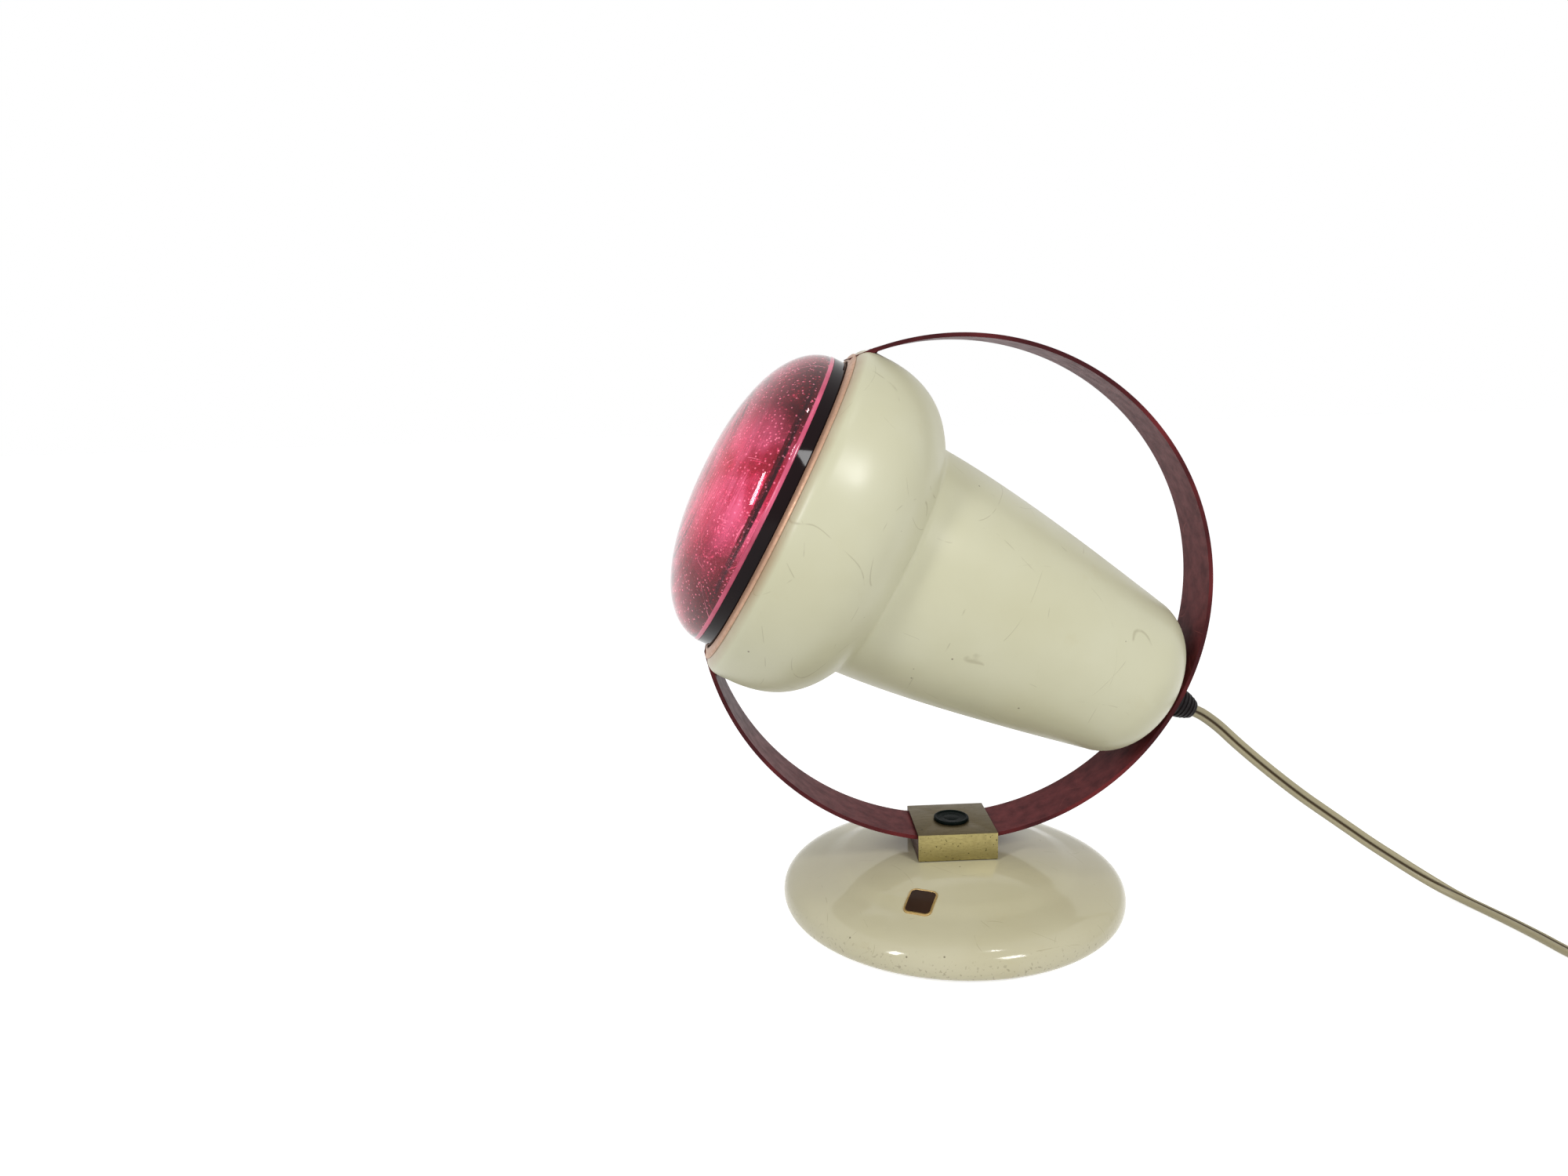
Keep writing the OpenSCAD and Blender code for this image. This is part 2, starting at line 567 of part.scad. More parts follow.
// ---- lampholder ----
shell_r = cap_r + 0.15;
terminal_l = 5;            // length of a terminal along the head's axis
module lampholder() {
  mouth = cap_s + holder_cover;
  neck = chamber_s + 4;      // where the rear part steps out to the front part
  color(black) on_head() difference() {
    rotate_extrude() polygon([[0, holder_s], [holder_r - 5, holder_s], [holder_r - 3, holder_s + 2],
      [holder_r - 2, neck], [holder_r, neck + 2], [holder_r, mouth - 1], [holder_r - 0.8, mouth], [0, mouth]]);
    translate([0, 0, socket_s]) cylinder(r = shell_r + shell_t + fit, h = mouth - socket_s + 1);
    translate([0, 0, holder_s - 1]) cylinder(r = nipple_r + fit, h = holder_floor + 1);
    translate([0, 0, chamber_s - lap]) cylinder(r = chamber_r, h = chamber_end - chamber_s + lap);
  }
}
module screw_shell() {
  color(brass) on_head() ring_s(cap_s + 1, cap_s + 1 + shell_len, shell_r, shell_r + shell_t);
}
module holder_contact() {
  color(brass) on_head() union() {
    translate([0, 0, socket_s]) cylinder(r = 7, h = 0.8);
    translate([0, 0, socket_s]) cylinder(r = 3, h = socket_depth - fit);
  }
}
module terminals() {
  color(brass) on_head() for (k = [-1, 1])
    translate([-2.5, k > 0 ? 0.6 : -6, chamber_end - terminal_l]) cube([5, 5.4, terminal_l]);
}
module core_wires() {
  s1 = chamber_end - terminal_l;
  color(ivory) on_head() for (k = [-1, 1])
    translate([0, k * (nipple_bore / 2), -gland_s + 2.6]) cylinder(r = nipple_bore / 2 - 0.4, h = s1 + gland_s - 2.6);
}
module tail_tube() {
  color(steel) on_head() ring_s(-hoop_r - 5, chamber_s - 0.4, nipple_bore, nipple_r);
}
module tail_nut() {
  color(steel) on_head() difference() {
    translate([0, 0, -tail_s + shade_wall + fit]) hex(tail_nut_af, tail_nut_h);
    translate([0, 0, -tail_s]) cylinder(r = nipple_r + fit, h = 20);
  }
}
module tail_washer() {
  color(steel) on_head() ring_s(-tail_s - tail_washer_t, -tail_s, nipple_r + fit, tail_washer_r);
}
module gland() {
  ribs = 5;
  r0 = gland_r;
  step = (gland_len - 3) / ribs;
  edge = [for (i = [0:ribs - 1]) each [
    [r0 - (r0 - gland_tip_r) * pow(i / ribs, 2), -hoop_r - 0.1 - 1.5 - step * i],
    [r0 - (r0 - gland_tip_r) * pow((i + 0.55) / ribs, 2), -hoop_r - 1.6 - step * (i + 0.55)],
    [r0 - (r0 - gland_tip_r) * pow((i + 0.65) / ribs, 2) - 0.35, -hoop_r - 1.6 - step * (i + 0.65)],
    [r0 - (r0 - gland_tip_r) * pow((i + 0.9) / ribs, 2) - 0.35, -hoop_r - 1.6 - step * (i + 0.9)]]];
  color(black) on_head() difference() {
    rotate_extrude() polygon(concat([[0, -hoop_r - 0.1], [r0, -hoop_r - 0.1]], edge,
      [[gland_tip_r, -gland_s + 1.2], [gland_tip_r - 0.4, -gland_s], [0, -gland_s]]));
    translate([0, 0, -hoop_r - 5.2]) cylinder(r = nipple_r + fit, h = 10);
    translate([0, 0, -gland_s + 2.5]) cylinder(r = nipple_bore, h = 10);
  }
}

// ---- lead, coil and plug ----
module cord_lead() { color(ivory) sweep(lead_rings); }
module cord_coil() { color(ivory) sweep(coil_rings); }
module coil_tie() {
  r1 = coil_out - coil_pitch * 0.75 + cord_t / 2 + 0.4;
  r0 = coil_in + coil_pitch * 0.5 - cord_t / 2 - 0.5;
  h = coil_z - cord_w / 2 + coil_rise + cord_w + 0.2;
  color([0.2, 0.2, 0.2]) translate([coil_c[0] - tie_w / 2, coil_c[1] + r0 - tie_t, 0]) difference() {
    cube([tie_w, r1 - r0 + 2 * tie_t, h + tie_t]);
    translate([-1, tie_t, tie_t]) cube([tie_w + 2, r1 - r0, h - tie_t]);
  }
}
sleeve_l = 12;
module plug_frame() { translate([plug_x, plug_y, plug_z]) children(); }
module plug_body() {
  w = plug_w / 2;
  h = plug_h / 2;
  l = sleeve_l + plug_l;
  color(ivory) plug_frame() difference() {
    intersection() {
      translate([0, 0, -h]) linear_extrude(height = plug_h) polygon(concat(
        [[-4, 0], [-4.6, 3], [-5, sleeve_l]],
        bez([-5, sleeve_l], [-5, sleeve_l + 8], [-w, sleeve_l + 3], [-w, sleeve_l + 14], 8),
        [[-w, l - 1.5], [-w + 1.5, l], [w - 1.5, l], [w, l - 1.5]],
        back(bez([5, sleeve_l], [5, sleeve_l + 8], [w, sleeve_l + 3], [w, sleeve_l + 14], 8)),
        [[5, sleeve_l], [4.6, 3], [4, 0]]));
      rotate([90, 0, 90]) translate([0, 0, -w - 1]) linear_extrude(height = plug_w + 2) polygon(concat(
        [[0, -3.4], [sleeve_l, -4.2]],
        bez([sleeve_l, -4.2], [sleeve_l + 5, -4.4], [sleeve_l + 3, -h], [sleeve_l + 10, -h], 6),
        [[l - 1.2, -h], [l, -h + 1.2], [l, h - 1.2], [l - 1.2, h]],
        back(bez([sleeve_l, 4.2], [sleeve_l + 5, 4.4], [sleeve_l + 3, h], [sleeve_l + 10, h], 6)),
        [[sleeve_l, 4.2], [0, 3.4]]));
    }
    for (k = [-1, 1]) translate([k * pin_gap / 2, l - pin_root_l - lap, 0]) rotate([-90, 0, 0])
      cylinder(r = pin_root_r + fit, h = pin_root_l + 1);
    translate([0, l - 12, h - 3]) cylinder(r = 3, h = 5);
  }
}
module plug_pins() {
  tip = 0.8;                 // length of a pin's tapered tip
  color(brass) plug_frame() for (k = [-1, 1])
    translate([k * pin_gap / 2, sleeve_l + plug_l, 0]) rotate([-90, 0, 0]) {
      translate([0, 0, -pin_root_l]) cylinder(r = pin_root_r, h = pin_root_l + lap);
      cylinder(r = pin_r, h = pin_l - tip);
      translate([0, 0, pin_l - tip]) cylinder(r1 = pin_r, r2 = pin_r - 0.7, h = tip);
    }
}
module plug_screw() {
  l = sleeve_l + plug_l;
  color(brass) plug_frame() translate([0, l - 12, plug_h / 2 - 3]) difference() {
    cylinder(r = 3 - fit, h = 2.2);
    translate([-4, -0.4, 1.3]) cube([8, 0.8, 2]);
  }
}

base_shell();
base_weight();
base_pad();
badge();
swivel_washer();
clamp_block();
friction_button();
friction_pad();
pressure_spring();
pivot_stud();
spring_washer();
pivot_nut();
hoop();
hoop_clips();
shade();
rim_ring();
bulb_lens();
bulb_reflector();
bulb_stem();
filament();
bulb_cap();
cap_insulator();
bulb_contact();
lampholder();
screw_shell();
holder_contact();
terminals();
core_wires();
tail_tube();
tail_nut();
tail_washer();
gland();
cord_lead();
cord_coil();
coil_tie();
plug_body();
plug_pins();
plug_screw();
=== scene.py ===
import math
import bpy
from mathutils import Matrix, Vector


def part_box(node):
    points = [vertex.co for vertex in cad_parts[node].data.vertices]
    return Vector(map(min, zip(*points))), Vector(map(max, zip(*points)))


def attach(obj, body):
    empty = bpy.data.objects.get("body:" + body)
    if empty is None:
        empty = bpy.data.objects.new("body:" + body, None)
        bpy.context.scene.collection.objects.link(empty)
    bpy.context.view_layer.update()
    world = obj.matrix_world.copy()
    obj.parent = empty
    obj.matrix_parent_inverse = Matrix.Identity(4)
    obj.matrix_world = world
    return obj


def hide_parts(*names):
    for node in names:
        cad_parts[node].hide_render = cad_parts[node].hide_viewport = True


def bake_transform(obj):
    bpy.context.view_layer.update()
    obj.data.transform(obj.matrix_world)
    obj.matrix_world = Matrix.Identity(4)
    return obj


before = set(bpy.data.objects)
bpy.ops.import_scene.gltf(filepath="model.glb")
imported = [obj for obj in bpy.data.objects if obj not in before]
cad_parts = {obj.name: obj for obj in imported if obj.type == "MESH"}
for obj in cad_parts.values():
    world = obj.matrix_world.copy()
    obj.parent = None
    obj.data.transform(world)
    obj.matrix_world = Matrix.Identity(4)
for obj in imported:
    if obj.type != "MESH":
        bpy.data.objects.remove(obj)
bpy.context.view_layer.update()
scene = bpy.context.scene
MM = 0.001

# ---- Camera ----
# A hand-held camera in front of the lamp, a little above it and turned a little clockwise.
# Its place was worked out from the outlines of the round base, the hoop and the clamp.
camera = bpy.data.objects.new("photo_camera", bpy.data.cameras.new("photo_camera"))
scene.collection.objects.link(camera)
camera.data.sensor_width = 36
camera.data.lens = 25.04
camera.data.clip_start = 0.01
camera_place = (-0.0762, -0.4247, 0.2140)
heading, pitch, roll = math.radians(1.32), math.radians(-10.58), math.radians(1.70)
ahead = Vector((math.sin(heading) * math.cos(pitch), math.cos(heading) * math.cos(pitch), math.sin(pitch)))
level = ahead.cross(Vector((0, 0, 1))).normalized()
over = level.cross(ahead)
camera_up = over * math.cos(roll) + level * math.sin(roll)
camera_right = level * math.cos(roll) - over * math.sin(roll)
turn = Matrix((camera_right, camera_up, -ahead)).transposed().to_4x4()
camera.matrix_world = Matrix.Translation(camera_place) @ turn
scene.camera = camera
scene.view_settings.view_transform = "Standard"


# ---- Studio ----
# A pale floor and an even white room, a soft box in front on the right, a small lamp
# overhead, which draws a bright spot on the base's front, and a strip lamp on the left.
def feed(tree, node, inputs):
    """Sets a node's sockets to numbers or links them to other sockets."""
    for key, value in inputs.items():
        if isinstance(value, bpy.types.NodeSocket):
            tree.links.new(value, node.inputs[key])
        else:
            node.inputs[key].default_value = value


def add_node(tree, kind, inputs=None, **settings):
    """A shader node with its settings and its sockets."""
    made = tree.nodes.new(kind)
    for key, value in settings.items():
        setattr(made, key, value)
    feed(tree, made, inputs or {})
    return made


def reckon(tree, operation, *values):
    """One operation on one to three values."""
    return add_node(tree, "ShaderNodeMath", dict(enumerate(values)), operation=operation).outputs[0]


def new_finish(name):
    """A material with its tree and its shader."""
    made = bpy.data.materials.new(name)
    made.use_nodes = True
    return made, made.node_tree, made.node_tree.nodes["Principled BSDF"]


def seen_straight(tree):
    """1 for rays from the camera and for those that metal or glass sends on."""
    path = add_node(tree, "ShaderNodeLightPath").outputs
    either = reckon(tree, "MAXIMUM", path["Is Camera Ray"], path["Is Glossy Ray"])
    return reckon(tree, "MAXIMUM", either, path["Is Transmission Ray"])


white = (1, 1, 1, 1)
floor_lift, room_light = 0.71, 0.37
bpy.ops.object.select_all(action="DESELECT")
bpy.ops.mesh.primitive_plane_add(size=9, location=(0, 0, 0))
floor = bpy.context.object
floor.name = "studio_floor"
floor_paint, tree, shader = new_finish("studio_paper")
feed(tree, shader, {"Base Color": (0.88, 0.88, 0.88, 1), "Roughness": 0.9, "Specular IOR Level": 0.1,
                    "Emission Color": white,
                    "Emission Strength": reckon(tree, "MULTIPLY", seen_straight(tree), floor_lift)})
floor.data.materials.append(floor_paint)

world = bpy.data.worlds.new("white_room")
scene.world = world
world.use_nodes = True
tree = world.node_tree
tree.nodes.clear()
dim, bright = (add_node(tree, "ShaderNodeBackground", {"Color": white, "Strength": strength}).outputs[0]
               for strength in (room_light, 1.0))
mixed = add_node(tree, "ShaderNodeMixShader", {0: seen_straight(tree), 1: dim, 2: bright})
add_node(tree, "ShaderNodeOutputWorld", {"Surface": mixed.outputs[0]})


def soft_box(name, toward, distance, wide, tall, power):
    """A rectangular lamp in the direction toward, aimed at the middle of the object."""
    lamp = bpy.data.lights.new(name, "AREA")
    lamp.shape = "RECTANGLE"
    lamp.size, lamp.size_y, lamp.energy = wide, tall, power
    held = bpy.data.objects.new(name, lamp)
    scene.collection.objects.link(held)
    middle = Vector((0, 0, 0.11))
    away = Vector(toward).normalized()
    facing = away.to_track_quat("Z", "Y").to_matrix().to_4x4()
    held.matrix_world = Matrix.Translation(middle + away * distance) @ facing


soft_box("key_box", (0.43, -0.70, 0.565), 1.3, 0.28, 0.27, 6.2)
soft_box("overhead", (0.26, -0.20, 0.94), 1.5, 0.10, 0.10, 1.2)
soft_box("left_strip", (-0.64, -0.59, 0.49), 1.2, 0.12, 0.40, 4.4)


# ---- Lead ----
# Flat twin lead in ivory vinyl, two cores side by side with a groove between them.
# It leaves the gland, comes down to the table and ends in a tied coil and a plug.
def smooth_path(points, sides, steps):
    """Points, directions and width directions along a smooth line through the given points."""
    knots = [0.0]
    for a, b in zip(points, points[1:]):
        knots.append(knots[-1] + (b - a).length)
    slopes = []
    for i in range(len(points)):
        lo, hi = max(i - 1, 0), min(i + 1, len(points) - 1)
        slopes.append((points[hi] - points[lo]) / (knots[hi] - knots[lo]))
    line, way, across = [], [], []
    for i in range(len(points) - 1):
        span = knots[i + 1] - knots[i]
        count = steps(i)
        for k in range(count + (i == len(points) - 2)):
            t = k / count
            h00, h10 = 2 * t**3 - 3 * t**2 + 1, t**3 - 2 * t**2 + t
            h01, h11 = -2 * t**3 + 3 * t**2, t**3 - t**2
            line.append(points[i] * h00 + slopes[i] * (h10 * span) + points[i + 1] * h01
                        + slopes[i + 1] * (h11 * span))
            d00, d10 = 6 * t**2 - 6 * t, 3 * t**2 - 4 * t + 1
            d01, d11 = -6 * t**2 + 6 * t, 3 * t**2 - 2 * t
            way.append((points[i] * (d00 / span) + slopes[i] * d10 + points[i + 1] * (d01 / span)
                        + slopes[i + 1] * d11).normalized())
            across.append(sides[i].lerp(sides[i + 1], t))
    return line, way, across


twist_start, twist_end, rise_start = 0.46, 0.58, 0.78


def lead_side(u):
    """Which way the flat side's width points, u from the gland to the coil."""
    if u < twist_end:
        laid = max(0, (u - twist_start) / (twist_end - twist_start))
        return Vector((0.5 + 0.5 * laid, 0.2 * laid, 0.87 * (1 - laid)))
    rise = max(0, u - rise_start)
    return Vector((1 - 4.5 * rise, 0.2 - 0.9 * rise, 4.5 * rise))


head_tilt = math.radians(28)
head_dir = Vector((-math.cos(head_tilt), 0, math.sin(head_tilt)))
hoop_centre = Vector((0, 0, 131)) * MM
gland_end = 112.1
lead_start = hoop_centre - head_dir * (gland_end + 0.1) * MM
lead_end = Vector((226, -98, 3.4)) * MM
route = [(110, 0, 71), (118, 0, 63.5), (127, 0, 55.5), (136.5, -0.5, 47.5), (146.5, -1, 39.5),
         (156, -1.5, 32.5), (165, -3, 26), (174, -5, 19.5), (183, -8, 13.5), (191.5, -11.5, 8),
         (198.5, -16.5, 4), (203.5, -23.5, 2), (207, -32, 1.5), (210, -42, 1.5), (213, -54, 1.5),
         (215.5, -66, 1.5), (219, -77, 1.8), (223, -86, 2.5), (225.5, -92, 3.2)]
lead_points = [lead_start, lead_start - head_dir * 5 * MM, *[Vector(p) * MM for p in route],
               lead_end + Vector((0, 5, 0)) * MM, lead_end]
lead_sides = [lead_side(i / (len(lead_points) - 1)) for i in range(len(lead_points))]

# The coil winds inwards on the table, climbs and winds outwards again over itself, in steps.
coil_middle, coil_out, coil_pitch, coil_rise, coil_z = Vector((262, -104, 0)) * MM, 36, 3.5, 5.5, 3.4
coil_step, coil_half = 15, 102
coil_points = []
for i in range(2 * coil_half + 1):
    angle = math.radians(180 + coil_step * i)
    inward = i if i <= coil_half else 2 * coil_half - i
    reach = coil_out - coil_pitch * coil_step / 360 * inward
    height = coil_z + coil_rise * min(1, max(0, (i - coil_half) * coil_step / 180 + 0.5))
    coil_points.append(coil_middle + Vector((reach * math.cos(angle), reach * math.sin(angle), height)) * MM)
to_plug = ((298, -98, 8.6), (298, -91, 7.6), (298, -84, 7), (298, -78, 7))
coil_points += [Vector(p) * MM for p in to_plug]
cord_line, cord_way, cord_across = smooth_path(
    lead_points + coil_points, lead_sides + [Vector((0, 0, 1))] * len(coil_points),
    lambda i: 4 if i < len(lead_points) else 2)

lobe_r, lobe_x, lobe_steps = 1.35 * MM, 1.15 * MM, 10
groove = math.degrees(math.acos(lobe_x / lobe_r))
section = []
for side in (1, -1):
    for k in range(lobe_steps):
        a = math.radians(groove - 180 + (360 - 2 * groove) * k / lobe_steps + (0 if side > 0 else 180))
        section.append((side * lobe_x + lobe_r * math.cos(a), lobe_r * math.sin(a)))
verts, faces = [], []
for p, t, side in zip(cord_line, cord_way, cord_across):
    wide = (side - t * side.dot(t)).normalized()
    thick = t.cross(wide)
    verts += [p + wide * x + thick * y for x, y in section]
count = len(section)
for i in range(len(cord_line) - 1):
    for k in range(count):
        j = (k + 1) % count
        faces.append((i * count + k, i * count + j, (i + 1) * count + j, (i + 1) * count + k))
last = (len(cord_line) - 1) * count
faces += [tuple(range(count))[::-1], tuple(range(last, last + count))]
cord_mesh = bpy.data.meshes.new("lead")
cord_mesh.from_pydata(verts, [], faces)
run = [0.0]
for a, b in zip(cord_line, cord_line[1:]):
    run.append(run[-1] + (b - a).length)
uv = cord_mesh.uv_layers.new(name="along")
for f in cord_mesh.polygons:
    if len(f.loop_indices) == 4:
        i, k = divmod(f.index, count)
        for loop, (du, dv) in zip(f.loop_indices, ((0, 0), (1, 0), (1, 1), (0, 1))):
            uv.data[loop].uv = ((k + du) / count, run[i + dv])
lead = bpy.data.objects.new("lead", cord_mesh)
scene.collection.objects.link(lead)


def only(piece):
    """Selects one piece alone."""
    bpy.ops.object.select_all(action="DESELECT")
    piece.select_set(True)
    bpy.context.view_layer.objects.active = piece


only(lead)
bpy.ops.object.mode_set(mode="EDIT")
bpy.ops.mesh.select_all(action="SELECT")
bpy.ops.mesh.normals_make_consistent(inside=False)
bpy.ops.object.mode_set(mode="OBJECT")
bpy.ops.object.shade_smooth_by_angle(angle=math.radians(50))


def noise(tree, where, scale, detail=2.0, **more):
    """Noise about 0.5."""
    inputs = {"Vector": where, "Scale": scale, "Detail": detail, **more}
    return add_node(tree, "ShaderNodeTexNoise", inputs).outputs[0]


def scaled(tree, value, low, high, start=0.0, end=1.0):
    """The value stretched from start..end to low..high."""
    return add_node(tree, "ShaderNodeMapRange", {"Value": value, "From Min": start, "From Max": end,
                                                 "To Min": low, "To Max": high}).outputs[0]


# Wear is shared by many finishes: fine scratches, small chips, a broad cloud and a fine grain.
group = bpy.data.node_groups.new("surface_wear", "ShaderNodeTree")
group.interface.new_socket(name="Vector", in_out="INPUT", socket_type="NodeSocketVector")
group.interface.new_socket(name="Size", in_out="INPUT", socket_type="NodeSocketFloat")
inlet = group.nodes.new("NodeGroupInput").outputs
sized = add_node(group, "ShaderNodeVectorMath", {0: inlet["Vector"], "Scale": inlet["Size"]},
                 operation="SCALE").outputs[0]
scratches = 0.0
for start in ((0.0, 0.0, 0.0), (0.31, 0.47, 0.13), (1.7, 0.9, 2.3)):
    laid = add_node(group, "ShaderNodeMapping", {"Vector": sized, "Location": start}).outputs[0]
    apart = reckon(group, "ABSOLUTE", reckon(group, "SUBTRACT", noise(group, laid, 20.0, 0.0), 0.5))
    broken = scaled(group, noise(group, laid, 110.0), 0, 1, 0.52, 0.60)
    line = reckon(group, "MULTIPLY", scaled(group, apart, 0, 1, 0.0018, 0.0004), broken)
    scratches = reckon(group, "MAXIMUM", scratches, line)
cells = add_node(group, "ShaderNodeTexVoronoi", {"Vector": sized, "Scale": 150.0}).outputs
parted = add_node(group, "ShaderNodeSeparateColor", {0: cells["Color"]}).outputs
chips = reckon(group, "MULTIPLY", scaled(group, cells["Distance"], 0, 1, 0.07, 0.04),
               reckon(group, "GREATER_THAN", parted[0], 0.82))
wear_masks = {"Scratches": scratches, "Chips": chips, "Cloud": noise(group, sized, 25.0, 4.0),
              "Grain": noise(group, sized, 900.0)}
for name in wear_masks:
    group.interface.new_socket(name=name, in_out="OUTPUT", socket_type="NodeSocketFloat")
feed(group, group.nodes.new("NodeGroupOutput"), wear_masks)


def mix_colours(tree, mask, first, second):
    """first where the mask is 0 and second where it is 1."""
    made = tree.nodes.new("ShaderNodeMix")
    made.data_type = "RGBA"
    for index, value in ((0, mask), (6, first), (7, second)):
        if isinstance(value, bpy.types.NodeSocket):
            tree.links.new(value, made.inputs[index])
        else:
            made.inputs[index].default_value = (*value, 1)
    return made.outputs[2]


def clouded(tree, wear, light, dark, start=0.3, end=0.7):
    """Two tones in broad clouds."""
    return mix_colours(tree, scaled(tree, wear["Cloud"], 0, 1, start, end), light, dark)


def times(colour, *shares):
    """The colour times one share, or times a share for each channel."""
    return tuple(c * share for c, share in zip(colour, shares * 3))


def bumped(tree, height, strength, depth):
    """A normal from a height."""
    return add_node(tree, "ShaderNodeBump",
                    {"Height": height, "Strength": strength, "Distance": depth}).outputs[0]


def worn(tree, size):
    """The shared wear, read on the object's own coordinates, and those coordinates."""
    where = add_node(tree, "ShaderNodeTexCoord").outputs["Object"]
    made = add_node(tree, "ShaderNodeGroup", node_tree=group)
    feed(tree, made, {"Vector": where, "Size": size})
    return made.outputs, where


def vinyl(name, colour, shadow=None):
    """Soft vinyl, with a painted shadow line in the groove of a flat twin lead where a shadow colour is given.
    """
    made, tree, shader = new_finish(name)
    wear, _ = worn(tree, 1.3)
    tone = clouded(tree, wear, colour, times(colour, 0.93), 0.35, 0.65)
    if shadow:
        along = add_node(tree, "ShaderNodeUVMap", uv_map="along").outputs[0]
        parts = add_node(tree, "ShaderNodeSeparateXYZ", {0: along}).outputs
        near = reckon(tree, "PINGPONG", parts[0], 0.25)
        # Painted shadow along the groove between the two cores.
        tone = mix_colours(tree, scaled(tree, near, 1, 0, 0.040, 0.075), tone, shadow)
    feed(tree, shader, {"Base Color": tone, "Roughness": scaled(tree, wear["Grain"], 0.33, 0.48),
                        "Normal": bumped(tree, wear["Grain"], 0.15, 0.0001)})
    return made


lead.data.materials.append(vinyl("lead_vinyl", (0.37, 0.325, 0.195), (0.05, 0.03, 0.006)))
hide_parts("cord_lead", "cord_coil")
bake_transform(lead)


# ---- Base ----
# A spun steel dish in cream enamel with a soft step round its dome and a rolled foot. A cast
# weight and a felt disc close it from below, and a plain badge is stuck to its front.
def curve(a, b, c, d, steps):
    """Points of a cubic curve, without its first."""
    found = []
    for i in range(1, steps + 1):
        t, u = i / steps, 1 - i / steps
        found.append(tuple(a[k] * u**3 + 3 * b[k] * u * u * t + 3 * c[k] * u * t * t + d[k] * t**3
                           for k in (0, 1)))
    return found


def offset_line(line, gap):
    """The same profile moved sideways by gap, to the left of its direction."""
    found = []
    for i, p in enumerate(line):
        a, b = Vector(line[max(i - 1, 0)]), Vector(line[min(i + 1, len(line) - 1)])
        t = (b - a).normalized()
        found.append((p[0] - t.y * gap, p[1] + t.x * gap))
    return found


def close_mesh(piece, angle=35):
    """Merges doubles, closes poles, turns faces outwards and smooths."""
    only(piece)
    bpy.ops.object.mode_set(mode="EDIT")
    bpy.ops.mesh.select_all(action="SELECT")
    bpy.ops.mesh.remove_doubles(threshold=0.000006)
    bpy.ops.mesh.fill_holes(sides=0)
    bpy.ops.mesh.normals_make_consistent(inside=False)
    bpy.ops.object.mode_set(mode="OBJECT")
    bpy.ops.object.shade_smooth_by_angle(angle=math.radians(angle))


pole_r = 0.02


def turned(name, profile, sides=160, angle=35):
    """A spun or turned piece about Z: a ring extruded and resized along the profile, in mm."""
    bpy.ops.object.select_all(action="DESELECT")
    r, z = max(profile[0][0], pole_r) * MM, profile[0][1] * MM
    bpy.ops.mesh.primitive_circle_add(vertices=sides, radius=r, location=(0, 0, 0))
    piece = bpy.context.object
    piece.name = name
    bpy.ops.object.mode_set(mode="EDIT")
    bpy.ops.mesh.select_mode(type="VERT")
    bpy.ops.mesh.select_all(action="SELECT")
    bpy.ops.transform.translate(value=(0, 0, z))
    for x, y in profile[1:]:
        next_r, next_z = max(x, pole_r) * MM, y * MM
        bpy.ops.mesh.extrude_region_move(TRANSFORM_OT_translate={"value": (0, 0, next_z - z)})
        bpy.ops.transform.resize(value=(next_r / r, next_r / r, 1), center_override=(0, 0, next_z))
        r, z = next_r, next_z
    bpy.ops.object.mode_set(mode="OBJECT")
    close_mesh(piece, angle)
    return piece


def enamel(name, colour, gloss, chip, chip_share, peel):
    """Stoved enamel: a slight cloud, fine scratches, small chips and orange peel."""
    made, tree, shader = new_finish(name)
    wear, where = worn(tree, 1.0)
    tone = clouded(tree, wear, colour, times(colour, 0.93, 0.92, 0.87))
    stain = noise(tree, where, 55.0, 5.0, Roughness=0.7)
    tone = mix_colours(tree, scaled(tree, stain, 0, 0.35, 0.60, 0.75), tone, times(colour, 0.9, 0.84, 0.72))
    tone = mix_colours(tree, scaled(tree, wear["Scratches"], 0, 0.38), tone, times(colour, 0.45, 0.40, 0.32))
    rough = reckon(tree, "ADD", scaled(tree, wear["Cloud"], gloss * 0.85, gloss * 1.2, 0.3, 0.7),
                   scaled(tree, wear["Scratches"], 0, 0.12))
    dents = reckon(tree, "MULTIPLY_ADD", wear["Chips"], -0.8, noise(tree, where, 260.0))
    feed(tree, shader, {"Base Color": mix_colours(tree, scaled(tree, wear["Chips"], 0, chip_share), tone, chip),
                        "Roughness": rough, "Specular IOR Level": 0.35,
                        "Normal": bumped(tree, dents, peel, 0.0003)})
    return made, tree, shader


def overpaint(tree, shader, mask, colour):
    """Lays a colour over a finish where the mask is 1."""
    socket = shader.inputs["Base Color"]
    tree.links.new(mix_colours(tree, mask, socket.links[0].from_socket, colour), socket)


base_r, base_top, step_r, step_z, edge_z, foot_r, base_wall = 70, 23.6, 47, 18.8, 6, 65, 1.2
step_soft = 3.2
brim = (step_r + 4, step_z - 1.0 - 0.7)
stepped = [(4.6, base_top), (20, base_top),
           *curve((20, base_top), (28, base_top - 0.2), (step_r - 9, step_z + 2), (step_r, step_z), 22),
           *curve((step_r, step_z), (step_r + 1, step_z - 0.3), (step_r + 1.6, brim[1] + 0.4), brim, 8),
           *curve(brim, (base_r - 8, brim[1] - 2.2), (base_r, brim[1] - 4), (base_r, edge_z), 22)]


def dome_height(r, soft=0.0):
    """Height of the dome at a distance from the middle, averaged over soft either way."""
    if soft:
        return sum(dome_height(r + soft * k / 6) for k in range(-6, 7)) / 13
    for a, b in zip(stepped, stepped[1:]):
        if a[0] <= r < b[0]:
            return a[1] + (b[1] - a[1]) * (r - a[0]) / (b[0] - a[0])
    return base_top


